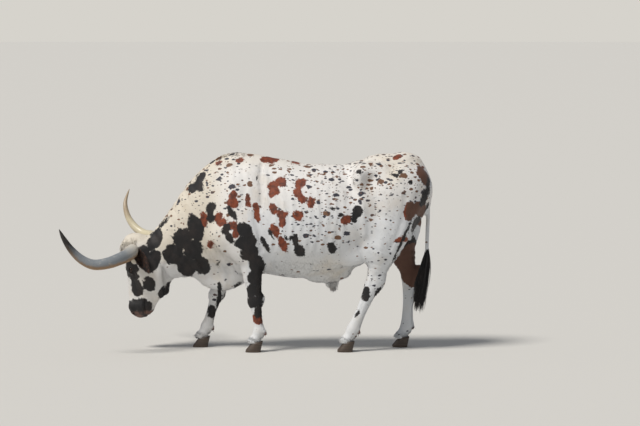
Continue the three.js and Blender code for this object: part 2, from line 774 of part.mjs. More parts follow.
for (const [name, made] of Object.entries(legSolids)) {
  piece(name, made, name.endsWith("left") ? colours.white : colours.brown);
  for (const side of [-1, 1]) {
    piece(name + (side < 0 ? "_claw_a" : "_claw_b"), clawLoft(legs[name].joints[4], side), colours.claw, 0.6);
  }
}
piece("tail", tail, colours.white);
piece("tail_switch", switchOfHair(), colours.black);

// The origin is on the ground under the middle of the box that holds the animal.
const box = new THREE.Box3().setFromObject(group);
const middle = box.getCenter(new THREE.Vector3());
group.position.set(-middle.x, -middle.y, -box.min.z);
export default group;
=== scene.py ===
"""A Texas longhorn bull, grazing. Tables are in millimetres, in the animal's own frame: it faces -X,
its left side is towards -Y and Z is up. `place` moves them into the model's frame, in metres."""
import math

import bpy
import numpy as np
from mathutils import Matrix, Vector


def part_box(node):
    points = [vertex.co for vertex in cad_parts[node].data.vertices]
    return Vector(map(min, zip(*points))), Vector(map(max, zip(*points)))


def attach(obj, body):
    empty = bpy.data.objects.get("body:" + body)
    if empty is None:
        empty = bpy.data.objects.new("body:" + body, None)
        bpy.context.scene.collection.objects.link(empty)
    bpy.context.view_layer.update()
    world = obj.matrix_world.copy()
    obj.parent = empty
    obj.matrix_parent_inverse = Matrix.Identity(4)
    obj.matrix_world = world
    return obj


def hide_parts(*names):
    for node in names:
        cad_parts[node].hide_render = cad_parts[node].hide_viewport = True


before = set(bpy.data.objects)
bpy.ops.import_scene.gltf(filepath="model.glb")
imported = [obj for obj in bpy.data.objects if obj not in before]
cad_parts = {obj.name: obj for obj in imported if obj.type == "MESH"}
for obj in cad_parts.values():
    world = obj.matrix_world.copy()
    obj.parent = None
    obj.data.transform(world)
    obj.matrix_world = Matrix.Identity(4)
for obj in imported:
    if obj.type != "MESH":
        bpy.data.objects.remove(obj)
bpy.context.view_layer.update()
random = np.random.default_rng(7)


# Trunk and neck. In life these are ribs, spine, shoulder blades and hook bones under muscle and loose skin.
# Here each is a lump or a tube whose distance is known, and they melt into one field, which the skin is
# drawn over.
def unit(v):
    """Vectors of length one along the last axis."""
    v = np.asarray(v, float)
    return v / np.maximum(np.linalg.norm(v, axis=-1, keepdims=True), 1e-9)


def smooth_rows(rows, steps):
    """Cubic Hermite rows between the given ones, `steps` to a span, with slopes from their neighbours."""
    rows = np.asarray(rows, float)
    slope = np.empty_like(rows)
    slope[1:-1] = (rows[2:] - rows[:-2]) / 2
    slope[0], slope[-1] = (rows[1] - rows[0]) / 2, (rows[-1] - rows[-2]) / 2
    t = (np.arange(steps) / steps)[None, :, None]
    a, b, m0, m1 = rows[:-1, None], rows[1:, None], slope[:-1, None], slope[1:, None]
    out = (2 * t**3 - 3 * t**2 + 1) * a + (t**3 - 2 * t**2 + t) * m0
    out = out + (3 * t**2 - 2 * t**3) * b + (t**3 - t**2) * m1
    return np.vstack([out.reshape(-1, rows.shape[1]), rows[-1:]])


def ellipsoid(x, y, z, a, b, c):
    """Roughly the distance to an ellipsoid of radii a, b, c: k0 (k0 - 1) / k1, negative inside."""
    k0 = np.sqrt((x / a) ** 2 + (y / b) ** 2 + (z / c) ** 2)
    k1 = np.sqrt((x / a**2) ** 2 + (y / b**2) ** 2 + (z / c**2) ** 2)
    return np.where(k1 < 1e-9, -np.minimum(np.minimum(a, b), c), k0 * (k0 - 1) / np.maximum(k1, 1e-9))


class Shape:
    """A distance function with the box outside which it is left out, and the length it blends over."""

    def __init__(self, blend, low, high, distance):
        self.blend, self.distance = blend, distance
        self.low, self.high = np.array(low, float), np.array(high, float)


def lump(centre, radii, blend, along=(1, 0, 0), up=(0, 0, 1)):
    """An ellipsoid of radii (length, width, depth) whose length lies along `along`."""
    centre = np.array(centre, float)
    e1 = unit(along)
    e2 = unit(np.cross(up, e1))
    axes = np.stack([e1, e2, np.cross(e1, e2)])
    reach = max(radii) + 2 * blend

    def distance(p):
        return ellipsoid(*((p - centre) @ axes.T).T, *radii)

    return Shape(blend, centre - reach, centre + reach, distance)


def tube(rows, blend, up=(0, 0, 1), steps=3):
    """A tube through rows of x, y, z, up, down, side: a centre and three radii."""
    fine = smooth_rows(rows, steps)
    reach = fine[:, 3:].max(1)[:, None] + 2 * blend

    def distance(p):
        best = np.full(len(p), 400.0)
        for a, b in zip(fine[:-1], fine[1:]):
            t = b[:3] - a[:3]
            length = np.linalg.norm(t)
            t = t / length
            side = unit(np.cross(t, up))
            d = p - a[:3]
            r = max(a[3:].max(), b[3:].max()) + length + 2 * blend
            near = np.flatnonzero((np.abs(d - t * length / 2) < r).all(1))
            if not len(near):
                continue
            d = d[near]
            along = d @ t
            w = np.clip(along / length, 0, 1)
            high, low, wide = (a[3:] + w[:, None] * (b[3:] - a[3:])).T
            above = d @ np.cross(side, t)
            tall = np.where(above > 0, high, low)
            found = ellipsoid(d @ side, above, along - w * length, wide, tall, np.minimum(tall, wide))
            best[near] = np.minimum(best[near], found)
        return best

    return Shape(blend, (fine[:, :3] - reach).min(0), (fine[:, :3] + reach).max(0), distance)


def melt(a, b, blend):
    """The smaller of a and b, rounded where they are within `blend` of each other."""
    h = np.maximum(blend - np.abs(a - b), 0) / blend
    return np.minimum(a, b) - h * h * blend / 4


def field(shapes, p):
    """The smooth union of shapes at points p."""
    f = np.full(len(p), 400.0)
    for s in shapes:
        near = np.flatnonzero(((p > s.low) & (p < s.high)).all(1))
        if len(near):
            f[near] = melt(f[near], s.distance(p[near]), s.blend)
    return f


def pair(x, y, z, radii, blend, along=(1, 0, 0), up=(0, 0, 1)):
    """The same lump on the left and the right."""
    ahead, aside, above = along
    return [lump((x, s * y, z), radii, blend, (ahead, s * aside, above), up) for s in (-1, 1)]


# Rows from rump to shoulder: x, top, widest height, underside, and half width as a share of the chest's.
HALF_CHEST = 310
TRUNK = [
    (700, 1296, 1170, 1050, 0.38), (640, 1402, 1170, 950, 0.58), (540, 1418, 1150, 850, 0.7),
    (400, 1420, 1080, 740, 0.78), (230, 1376, 960, 625, 0.88), (40, 1366, 900, 545, 1.0),
    (-160, 1369, 880, 525, 1.02), (-330, 1400, 900, 550, 0.93), (-500, 1418, 930, 580, 0.8),
    (-640, 1408, 950, 570, 0.68), (-740, 1330, 950, 600, 0.56),
]
trunk = [
    tube([(x, 0, wide, top - wide, wide - low, w * HALF_CHEST) for x, top, wide, low, w in TRUNK], 60),
    lump((-560, 0, 1345), (170, 62, 78), 90, (1, 0, -0.06)),
    lump((-725, 0, 1300), (150, 62, 80), 90, (1, 0, 0.55)),
    *pair(-590, 182, 1090, (265, 62, 120), 90, (0.42, -0.2, 1), (1, 0, 0)),
    *pair(-545, 205, 850, (170, 78, 130), 70, (0.1, 0, 1), (1, 0, 0)),
    *pair(-700, 175, 830, (90, 70, 95), 70),
    *pair(284, 200, 1268, (50, 42, 58), 60),
    *pair(385, 150, 1322, (110, 56, 46), 80, (1, 0, -0.1)),
    *pair(716, 92, 1262, (46, 38, 40), 60),
    lump((500, 0, 1385), (150, 70, 48), 60),
    lump((650, 0, 1402), (80, 50, 36), 50, (1, 0, -0.25)),
    *pair(560, 150, 1150, (150, 100, 170), 90),
    lump((70, 0, 545), (150, 62, 52), 70, (1, 0, 0.12)),
    lump((88, 0, 505), (44, 26, 34), 40, (0.5, 0, -1), (1, 0, 0)),
    *pair(265, 200, 690, (110, 30, 55), 70, (1, 0, 0.35)),
]
neck = [
    tube([(-600, 0, 1040, 345, 330, 200), (-730, 0, 985, 345, 390, 185), (-900, 0, 880, 262, 335, 150),
          (-1050, 0, 785, 192, 265, 122), (-1180, 10, 715, 140, 205, 108),
          (-1280, 15, 690, 100, 150, 95)], 60),
    tube([(-1120, 8, 585, 60, 42, 42), (-1010, 4, 610, 70, 55, 34), (-900, 0, 600, 80, 66, 32),
          (-815, 0, 560, 90, 98, 34), (-720, 0, 530, 100, 100, 48), (-620, 0, 555, 80, 92, 72),
          (-500, 0, 620, 70, 70, 110)], 70),
]

# Head. A long skull with brow, cheeks, jaw and muzzle under thin skin, hanging from the neck and turned a
# little away. In its frame x runs along the nose from the poll, y to its left and z out of the forehead.
HEAD_LENGTH = 562
twist, roll, pitch = np.radians((17.7, 8.9, 2.0))


def turn(axis, angle):
    """A rotation matrix about one of the three axes."""
    c, s = math.cos(angle), math.sin(angle)
    i, j = {"x": (1, 2), "y": (2, 0), "z": (0, 1)}[axis]
    m = np.eye(3)
    m[i, i] = m[j, j] = c
    m[i, j], m[j, i] = -s, s
    return m


NOSE_DOWN = np.array([(0, 0, -1), (0, -1, 0), (-1, 0, 0)]).T
HEAD_TURN = turn("z", -twist) @ turn("y", -pitch) @ turn("x", roll) @ NOSE_DOWN
POLL = np.array((-1436, 6, 812.0))


def to_head(p):
    """Points of the animal's frame in the head's: (p - poll) turned."""
    return (p - POLL) @ HEAD_TURN


def from_head(p):
    """Points of the head's frame in the animal's: turned back, then plus the poll."""
    return np.asarray(p, float) @ HEAD_TURN.T + POLL


face = [
    tube([(42, 0, -96, 74, 90, 80), (100, 0, -120, 110, 120, 102), (195, 0, -140, 138, 138, 108),
          (290, 0, -146, 146, 150, 88), (375, 0, -122, 128, 142, 72), (450, 0, -96, 102, 122, 66),
          (512, 0, -82, 86, 92, 76), (HEAD_LENGTH - 24, 0, -76, 56, 60, 60)], 40),
    lump((14, 0, -52), (42, 80, 44), 50),
    *pair(48, 84, -58, (50, 42, 48), 40),
    *pair(172, 92, -52, (58, 24, 30), 34),
    *pair(262, 66, -205, (118, 40, 92), 50, (1, 0, 0.1)),
    *pair(366, 48, -252, (76, 34, 46), 50),
    *pair(500, 52, -42, (38, 30, 34), 26),
    *pair(506, 50, -100, (46, 28, 28), 26),
    lump((530, 0, -56), (34, 56, 36), 26),
    lump((508, 0, -158), (48, 44, 26), 26),
]
EYE = (212, 96, -74)
EYE_RADIUS = 20


def carve(f, cut, blend):
    """f without the shape whose distance is cut, with a rounded rim."""
    return -melt(-f, cut, blend)


def head_distance(p):
    """The head: its tube and muscles, then lids, sockets, nostrils and the line of the mouth."""
    q = to_head(p)
    f = field(face, q)
    near = np.flatnonzero(f < 40)
    g = f[near]
    a, c, b = q[near, 0], np.abs(q[near, 1]), q[near, 2]
    # Lids: a rounded swelling over the eyeball, open in an almond.
    e = np.stack([a - EYE[0], c - EYE[1], b - EYE[2]])
    g = melt(g, ellipsoid(*e, EYE_RADIUS + 11, EYE_RADIUS + 4.5, EYE_RADIUS + 7), 14)
    almond = ellipsoid(e[0], e[1] - EYE_RADIUS * 0.9, e[2] - 0.10 * e[0], 19, 17, 10.5)
    g = carve(g, almond, 4)
    # A fold over the upper lid and a hollow before the eye.
    g = carve(g, ellipsoid(a - 214, c - 118, b + 45, 34, 7, 4), 8)
    g = carve(g, ellipsoid(a - 262, c - 104, b + 92, 26, 9, 7), 14)
    # Nostrils: a comma on each side of the muzzle, with a raised rim.
    n = np.stack([a - 534, c - 43, b + 40])
    g = melt(g, ellipsoid(*n, 26, 15, 20), 16)
    comma = ellipsoid(n[0] - 4 + 0.5 * n[2], n[1] - 12, n[2], 15, 16, 9)
    g = carve(g, comma, 7)
    # The line of the mouth, curving up to its corner, with a fuller lip on each side.
    curve = -138 - 0.0016 * (a - 500) ** 2 + 14 * np.clip((a - 520) / 40, 0, 1)
    line = np.where((a > 432), np.abs(b - curve), 30)
    g = g + 5.5 * np.exp(-((line / 4.2) ** 2)) - 3.0 * np.exp(-(((line - 15) / 9) ** 2)) * (a > 432)
    f[near] = g
    return f


head = Shape(60, (-1620, -330, 150), (-900, 330, 980), head_distance)

# Legs and tail. A leg is a chain of bones with muscle above and tendon below, ending in two claws. The tail
# hangs from the rump. A bone's rows are shares of the way down it, with radii ahead, behind and to the side.
CLAW_HEIGHT = 76
FORE = [
    [(0, 120, 110, 64), (0.6, 116, 114, 78)],
    [(0, 96, 92, 74), (0.35, 80, 70, 62), (0.78, 54, 52, 47)],
    [(0, 60, 56, 50), (0.2, 41, 43, 38), (0.55, 34, 36, 31), (0.85, 37, 41, 35)],
    [(0, 46, 51, 43), (0.5, 38, 40, 41)],
]
HIND = [
    [(0, 130, 140, 62), (0.5, 172, 168, 96)],
    [(0, 140, 140, 92), (0.35, 96, 100, 74), (0.75, 62, 66, 50)],
    [(0, 66, 72, 50), (0.22, 50, 48, 40), (0.55, 39, 39, 33), (0.85, 41, 44, 37)],
    [(0, 48, 53, 45), (0.5, 41, 43, 43)],
]
CORONET = (50, 48, 58)
LEGS = {
    "foreleg_left": [
        (-640, -178, 890), (-500, -192, 690), (-470, -172, 368), (-446, -170, 150), (-478, -170, 74)],
    "foreleg_right": [
        (-670, 178, 890), (-618, 192, 700), (-768, 172, 382), (-838, 168, 152), (-876, 168, 74)],
    "hindleg_left": [
        (560, -140, 1080), (452, -168, 770), (388, -162, 496), (236, -158, 158), (190, -158, 74)],
    "hindleg_right": [
        (590, 140, 1080), (575, 168, 780), (662, 162, 522), (640, 160, 158), (598, 160, 74)],
}
legs = {}
for name, joints in LEGS.items():
    bones = HIND if name.startswith("hind") else FORE
    j = np.array(joints, float)
    rows = [(*(j[i] + t * (j[i + 1] - j[i])), *radii) for i, bone in enumerate(bones) for t, *radii in bone]
    shapes = [tube(rows + [(*j[4], *CORONET)], 70, (-1, 0, 0))]
    if bones is HIND:
        shapes.append(lump(j[2] + (62, 0, 38), (52, 24, 26), 34, (0.25, 0, 1), (1, 0, 0)))
    else:
        shapes.append(lump(j[2] + (44, 0, 22), (34, 22, 20), 30, (0, 0, 1), (1, 0, 0)))
        shapes.append(lump(j[1] + (62, 0, 40), (60, 34, 34), 50, (-0.3, 0, 1), (1, 0, 0)))
    shapes += [lump(j[3] + (46, y, -10), (25, 12, 12), 8, (0.3, 0, -1), (1, 0, 0)) for y in (-21, 21)]
    legs[name] = shapes
TAIL = [(610, 0, 1388), (700, 0, 1380), (758, 0, 1300), (781, 0, 1180), (790, 0, 1010), (786, -2, 850),
        (780, -4, 690)]
tail = tube([(*p, r, r, r) for p, r in zip(TAIL, (40, 32, 25, 20, 17, 16, 15))], 26, (1, 0, 0.01), 4)
flesh = [*trunk, *neck, head, *sum(legs.values(), []), tail]

# Creases and swellings too fine for the solids: points, width and depth (a negative depth stands out).
CREASES = [
    # Behind the shoulder blade, and the blade's own ridge.
    ([(-425, 1350), (-432, 1250), (-420, 1130), (-425, 1040)], 15, 9),
    ([(-392, 1300), (-378, 1200), (-380, 1090)], 13, -4),
    ([(-470, 1010), (-440, 880), (-425, 750)], 18, 7),
    ([(-650, 1370), (-620, 1230), (-650, 1070), (-700, 910)], 20, -6),
    ([(-560, 1340), (-545, 1200), (-560, 1060)], 26, 6),
    # Brisket, dewlap and throat.
    ([(-830, 740), (-775, 640), (-730, 560), (-712, 480)], 13, 13),
    ([(-800, 740), (-745, 640), (-700, 560), (-690, 480)], 12, -6),
    ([(-775, 790), (-700, 660), (-668, 560), (-664, 490)], 13, 11),
    ([(-880, 660), (-850, 580), (-826, 500)], 12, 9),
    ([(-745, 700), (-690, 600), (-640, 540)], 10, 6),
    ([(-640, 640), (-600, 580), (-560, 560)], 12, 8),
    ([(-1120, 640), (-1080, 700), (-1060, 780)], 14, 5),
    ([(-1060, 600), (-1010, 680), (-985, 780)], 14, 4),
    ([(-985, 590), (-950, 660), (-930, 740)], 12, 3),
    # The hollow before the hook bone, the bone and the thigh's front edge, and the hollow behind it.
    ([(200, 1310), (212, 1220), (216, 1120)], 50, 15),
    ([(284, 1300), (296, 1190), (316, 1020), (322, 860)], 24, -8),
    ([(365, 1250), (405, 1130), (410, 1000)], 52, 13),
    ([(380, 1345), (470, 1330), (560, 1345)], 30, 8),
    ([(520, 1310), (600, 1270), (650, 1220)], 36, 9),
    ([(560, 1230), (640, 1150), (700, 1060)], 46, -8),
    # The flank's fold and the thigh's rear.
    ([(270, 790), (306, 720), (335, 610)], 14, 7),
    ([(620, 1130), (600, 980), (560, 860), (505, 760)], 22, 6),
    ([(705, 1150), (668, 1000), (640, 880)], 16, 5),
    ([(470, 900), (440, 780), (430, 680)], 34, -5),
    ([(400, 560), (330, 400), (275, 250)], 9, 3),
] + [([(x, 1170), (x + 14, 1000), (x - 6, 860), (x - 40, 740)], 17, -3.4) for x in range(-330, 190, 62)]


def polyline_distance(x, z, points):
    """Distance in side view from (x, z) to a run of points."""
    best = np.full(len(x), 1e9)
    for (ax, az), (bx, bz) in zip(points[:-1], points[1:]):
        dx, dz = bx - ax, bz - az
        w = np.clip(((x - ax) * dx + (z - az) * dz) / (dx * dx + dz * dz), 0, 1)
        best = np.minimum(best, np.hypot(x - ax - w * dx, z - az - w * dz))
    return best


def flesh_at(p):
    """The whole animal's field: flesh, then its creases, which both sides share."""
    f = field(flesh, p)
    near = np.flatnonzero((np.abs(f) < 40) & (np.abs(p[:, 1]) > 30) & (p[:, 0] > -1150))
    x, y, z = p[near].T
    for points, width, depth in CREASES:
        d = polyline_distance(x, z, points)
        f[near] += depth * np.exp(-((d / width) ** 2)) * np.clip((np.abs(y) - 30) / 60, 0, 1)
    return f


# Skin. One hide over trunk, neck, head, legs and tail, 5 to 8 mm thick in life and covered in short hair.
# It is a net of triangles drawn 2 mm inside the field's surface, without a seam, and takes the place of
# every node of flesh.
COAT_DEPTH = 2.0


def surface_net(f, low, step):
    """Surface nets: a point in every cell that the surface crosses, a quad round every crossed edge."""
    inside = f < 0
    shape = np.array(f.shape) - 1
    cells, sums, faces = [], [], []
    for axis in range(3):
        ahead = [slice(None)] * 3
        behind = [slice(None)] * 3
        ahead[axis], behind[axis] = slice(1, None), slice(None, -1)
        a, b = f[tuple(behind)], f[tuple(ahead)]
        crossed = inside[tuple(behind)] != inside[tuple(ahead)]
        at = np.argwhere(crossed)
        u, v = (axis + 1) % 3, (axis + 2) % 3
        keep = (at[:, u] > 0) & (at[:, v] > 0) & (at[:, u] < shape[u]) & (at[:, v] < shape[v])
        at = at[keep]
        fa, fb = a[tuple(at.T)], b[tuple(at.T)]
        point = at.astype(float)
        point[:, axis] += fa / (fa - fb)
        ring = []
        for du, dv in ((-1, -1), (0, -1), (0, 0), (-1, 0)):
            cell = at.copy()
            cell[:, u] += du
            cell[:, v] += dv
            ring.append(np.ravel_multi_index(tuple(cell.T), tuple(shape)))
        ring = np.stack(ring, 1)
        cells.append(ring.ravel())
        sums.append(np.repeat(point, 4, axis=0))
        faces.append(np.where((fa < 0)[:, None], ring, ring[:, ::-1]))
    cells, sums = np.concatenate(cells), np.concatenate(sums)
    used, index = np.unique(cells, return_inverse=True)
    count = np.bincount(index)
    points = np.stack([np.bincount(index, sums[:, k]) / count for k in range(3)], 1)
    quads = np.searchsorted(used, np.concatenate(faces))
    points = low + points * step
    diagonal = [np.linalg.norm(points[quads[:, i]] - points[quads[:, i + 2]], axis=1) for i in (0, 1)]
    first = (diagonal[0] <= diagonal[1])[:, None]
    one = np.where(first, quads[:, [0, 1, 2]], quads[:, [0, 1, 3]])
    two = np.where(first, quads[:, [0, 2, 3]], quads[:, [1, 2, 3]])
    return points, np.vstack([one, two])


def refine(points, faces, wanted):
    """Halves the edges whose two ends are wanted: a triangle becomes 4, 3 or 2."""
    edges = np.stack([faces, np.roll(faces, -1, 1)], 2)
    low, high = edges.min(2), edges.max(2)
    cut = wanted[low] & wanted[high]
    keys, index = np.unique(low[cut] * len(points) + high[cut], return_inverse=True)
    middle = np.full(faces.shape, -1)
    middle[cut] = len(points) + index
    halves = (points[keys // len(points)] + points[keys % len(points)]) / 2
    out = [faces[~cut.any(1)]]
    for turns in range(3):
        f, m, c = np.roll(faces, -turns, 1), np.roll(middle, -turns, 1), np.roll(cut, -turns, 1)
        one = c[:, 0] & ~c[:, 1] & ~c[:, 2]
        two = c[:, 0] & c[:, 1] & ~c[:, 2]
        out += [np.stack(t, 1) for t in (
            (f[one, 0], m[one, 0], f[one, 2]), (m[one, 0], f[one, 1], f[one, 2]),
            (f[two, 0], m[two, 0], f[two, 2]), (m[two, 0], f[two, 1], m[two, 1]),
            (m[two, 0], m[two, 1], f[two, 2]))]
    f, m = faces[cut.all(1)], middle[cut.all(1)]
    out += [np.stack(t, 1) for t in (
        (f[:, 0], m[:, 0], m[:, 2]), (m[:, 0], f[:, 1], m[:, 1]), (m[:, 2], m[:, 1], f[:, 2]),
        (m[:, 0], m[:, 1], m[:, 2]))]
    return np.vstack([points, halves]), np.vstack(out)


def slope(p, step=1.2):
    """The field's value and gradient, from four samples at the corners of a tetrahedron."""
    corners = np.array([(1, 1, 1), (1, -1, -1), (-1, 1, -1), (-1, -1, 1)], float)
    values = [flesh_at(p + step * k) for k in corners]
    return sum(values) / 4, sum(v[:, None] * k for v, k in zip(values, corners)) / (4 * step)


def settle(p, depth, rounds=2):
    """Moves points onto the surface `depth` inside the field's."""
    for _ in range(rounds):
        f, g = slope(p)
        move = np.clip(f + depth, -6, 6)[:, None] * g / np.maximum((g * g).sum(1, keepdims=True), 0.2)
        p = p - move
    return p


def relax(points, faces, rounds=2):
    """Each point moves half way to the middle of its neighbours."""
    a = np.concatenate([faces[:, i] for i in (0, 1, 2)] + [faces[:, i] for i in (1, 2, 0)])
    b = np.concatenate([faces[:, i] for i in (1, 2, 0)] + [faces[:, i] for i in (0, 1, 2)])
    count = np.maximum(np.bincount(a, minlength=len(points)), 1)[:, None]
    for _ in range(rounds):
        mean = np.stack([np.bincount(a, points[b, k], minlength=len(points)) for k in range(3)], 1) / count
        points = (points + mean) / 2
    return points


def eye_distance(h):
    """Distance from points in the head's frame to the middle of the eye on their side."""
    return np.linalg.norm(np.stack([h[:, 0], np.abs(h[:, 1]), h[:, 2]], 1) - EYE, axis=1)


NECK_END = -1130
ALL_AROUND_EYE, CLOSE_TO_EYE, MUZZLE_FROM = 52, 34, 434


def make_skin():
    """The skin: a 12 mm net over the whole field, halved over the head and again at the eyes and muzzle."""
    step = 12.0
    low = np.array((-1640, -350, 40.0))
    size = np.ceil((np.array((850, 350, 1470)) - low) / step).astype(int) + 1
    f = np.full(size, 400.0)
    for s in flesh:
        first = np.clip(np.floor((s.low - low) / step).astype(int), 0, size - 1)
        last = np.clip(np.ceil((s.high - low) / step).astype(int) + 1, 1, size)
        axes = [low[k] + step * np.arange(first[k], last[k]) for k in range(3)]
        p = np.stack(np.meshgrid(*axes, indexing="ij"), -1).reshape(-1, 3)
        block = tuple(slice(a, b) for a, b in zip(first, last))
        old = f[block].ravel()
        f[block] = melt(old, s.distance(p), s.blend).reshape(f[block].shape)
    points, faces = surface_net(f, low, step)
    points = settle(relax(points, faces), COAT_DEPTH)
    h = to_head(points)
    points, faces = refine(points, faces, (h[:, 0] > -60) & (h[:, 0] < 620) & (points[:, 0] < NECK_END))
    points = settle(points, COAT_DEPTH)
    for reach, nose in ((ALL_AROUND_EYE, MUZZLE_FROM), (CLOSE_TO_EYE, math.inf)):
        h = to_head(points)
        muzzle = (h[:, 0] > nose) & (points[:, 0] < NECK_END)
        points, faces = refine(points, faces, (eye_distance(h) < reach) | muzzle)
        points = settle(points, COAT_DEPTH, 3)
    # The feet stop inside the claws: from 8 mm under their tops down, height shrinks to a quarter.
    points[:, 2] -= 0.75 * np.minimum(points[:, 2] - (CLAW_HEIGHT - 8), 0)
    # Inside the claws each leg's open end is closed by a fan to its middle.
    edges = np.concatenate([faces[:, [0, 1]], faces[:, [1, 2]], faces[:, [2, 0]]])
    there, back = edges @ (len(points), 1), edges @ (1, len(points))
    rim = edges[~np.isin(there, back) & (points[edges[:, 0], 2] < CLAW_HEIGHT)]
    leg = 2 * (points[rim[:, 0], 0] > 0) + (points[rim[:, 0], 1] > 0)
    faces = np.vstack([faces, np.stack([rim[:, 1], rim[:, 0], len(points) + leg], 1)])
    points = np.vstack([points, [points[rim[leg == k, 0]].mean(0) for k in range(4)]])
    return points, faces


# The skin's markings: patches where the camera's lines meet the plane y = 0, each an ellipse as x, z, long
# radius, short radius and tilt in degrees. One black row is a line of painted shade, not a patch.
BLACK = [
    (-871, 1262, 44, 29, 53), (-887, 1202, 46, 33, -63), (-933, 1181, 37, 31, 46), (-798, 967, 44, 29, -89),
    (-801, 1034, 46, 32, 65), (-910, 893, 99, 57, -74), (-1007, 819, 76, 68, 66), (-930, 733, 78, 71, 50),
    (-1074, 698, 78, 75, 40), (-979, 611, 76, 70, -72), (-867, 620, 78, 58, -57), (-1140, 935, 53, 12, 52),
    (-1209, 802, 91, 46, 62), (-1230, 647, 90, 58, 65), (-647, 1004, 63, 23, -54), (-687, 881, 43, 33, 76),
    (-663, 823, 45, 30, -67), (-551, 873, 67, 48, -43), (-542, 787, 82, 51, 12), (-519, 706, 71, 56, 10),
    (-462, 625, 72, 58, -68), (-470, 530, 66, 55, 51), (-500, 430, 60, 40, 77), (-446, 430, 70, 38, -85),
    (-482, 348, 63, 44, 10), (-447, 283, 59, 38, 70), (-401, 771, 66, 19, -61), (-597, 479, 34, 14, 33),
    (-356, 841, 40, 12, -64), (-250, 823, 20, 10, -69), (-218, 818, 19, 12, 78), (-179, 795, 55, 24, -83),
    (-150, 724, 50, 41, -72), (82, 746, 43, 31, -71), (97, 1031, 20, 14, 8), (147, 984, 19, 13, 11),
    (248, 960, 34, 24, -82), (278, 1013, 44, 38, -64), (-461, 1256, 19, 10, 85), (585, 1302, 17, 13, -56),
    (554, 1278, 36, 8, -13), (664, 1226, 17, 16, -51), (764, 1117, 74, 26, 71), (704, 914, 69, 30, 70),
    # The long thin row at x 602, z 800 is painted shade: a dark line down the gap between the near thigh and
    # the far hind leg.
    (711, 828, 24, 11, 43), (602, 800, 185, 9, 65), (336, 405, 58, 30, 87), (424, 418, 46, 20, 62),
    (274, 264, 30, 13, 63), (-746, 632, 24, 9, 53), (-737, 444, 53, 14, -82), (-701, 393, 28, 13, 54),
    (-742, 350, 45, 22, 77), (-791, 275, 52, 33, 88), (700, 300, 110, 16, 88), (286, 1300, 18, 15, 20),
    (790, 1200, 60, 14, 82), (786, 1010, 70, 16, 86),
    # On the face.
    (-1315, 698, 80, 56, 33), (-1263, 630, 78, 54, -20), (-1374, 578, 82, 46, -75), (-1340, 448, 76, 42, -72),
    (-1251, 482, 56, 48, -60), (-1342, 338, 74, 48, 10), (-1287, 300, 62, 50, 40), (-1376, 308, 56, 40, -80),
    (-1140, 414, 58, 42, 62),
]
RUST = [
    (564, 1407, 32, 18, 25), (-372, 1390, 75, 27, -1), (-581, 1386, 28, 18, 13), (-743, 1363, 31, 13, 38),
    (-180, 1371, 32, 11, -10), (-344, 1201, 43, 33, 10), (-336, 1150, 47, 30, 31), (-283, 1231, 40, 38, 47),
    (-67, 1079, 43, 33, 64), (-140, 1220, 47, 33, 23), (-134, 1103, 41, 28, -56), (-165, 1151, 41, 31, 73),
    (-636, 1131, 43, 29, 67), (-642, 1074, 48, 37, -9), (-526, 1088, 51, 17, -85), (-277, 938, 45, 30, 80),
    (-281, 990, 44, 30, -2), (-343, 1027, 47, 31, -81), (-463, 1002, 73, 23, -78), (-160, 983, 42, 37, -43),
    (-715, 933, 40, 33, 22), (-635, 905, 41, 32, -27), (-742, 972, 41, 30, 42), (-617, 849, 44, 29, 65),
    (-850, 952, 57, 33, -89), (192, 950, 44, 30, 30), (-276, 777, 61, 28, -65), (-332, 869, 56, 31, -66),
    (-802, 773, 33, 24, 75), (-1232, 762, 15, 13, 12), (758, 1268, 89, 34, -62), (734, 1029, 65, 50, -72),
    (658, 1013, 71, 45, 86), (645, 640, 195, 105, -70), (-452, 222, 52, 44, 0),
]
FACE_WHITE = [
    (-1312, 536, 44, 10, -57), (-1364, 646, 26, 13, -50), (-1394, 440, 88, 15, -83), (-1365, 382, 40, 8, -14),
    (-1318, 386, 36, 9, 10),
]


def patches(x, z, rows, blend):
    """Distance in side view to the nearest of many ellipses, negative inside."""
    d = np.full(len(x), 300.0)
    for cx, cz, rx, rz, tilt in rows:
        t = math.radians(tilt)
        dx, dz = x - cx, z - cz
        u, v = dx * math.cos(t) + dz * math.sin(t), dz * math.cos(t) - dx * math.sin(t)
        k0 = np.hypot(u / rx, v / rz)
        k1 = np.hypot(u / rx**2, v / rz**2)
        d = melt(d, k0 * (k0 - 1) / np.maximum(k1, 1e-9), blend)
    return d


def ramp(x, a, b):
    """0 below a, 1 above b, smooth between."""
    t = np.clip((x - a) / (b - a), 0, 1)
    return t * t * (3 - 2 * t)


# Soft round spots: x, z, radius and height. The cream spots low on the belly, at x -140 and 120, are painted
# shade.
CREAM_AND_BELLY_SHADE_SPOTS = [(540, 1285, 70, 0.8), (-140, 640, 160, 0.3), (120, 560, 120, 0.7), (270, 860, 90, 0.3)]
FLECK_SPOTS = [
    (-20, 1010, 120, 0.5), (60, 880, 140, 0.5), (160, 980, 120, 0.8), (-60, 1150, 120, 0.6),
    (150, 1150, 130, 0.8), (-180, 830, 110, 0.5), (560, 1270, 140, 0.8), (330, 1220, 120, 0.35),
    (430, 1080, 180, 0.35), (350, 740, 130, 0.4), (430, 480, 110, 0.35), (660, 1100, 90, 0.3),
    (-800, 880, 90, 0.5), (-1010, 980, 120, 0.4), (-560, 1000, 90, 0.3), (350, 560, 90, 0.3),
    (-780, 420, 120, 0.3),
]
CAMERA_AWAY, CAMERA_HIGH = 20000, 2300


def photo_plane(p):
    """Where the camera's line through each point meets the plane y = 0."""
    k = CAMERA_AWAY / (CAMERA_AWAY + p[:, 1])
    return p[:, 0] * k, CAMERA_HIGH - (CAMERA_HIGH - p[:, 2]) * k


def round_spots(x, z, rows):
    """A sum of soft round spots: x, z, radius, height."""
    return sum(high * np.exp(-(((x - cx) ** 2 + (z - cz) ** 2) / r**2)) for cx, cz, r, high in rows)


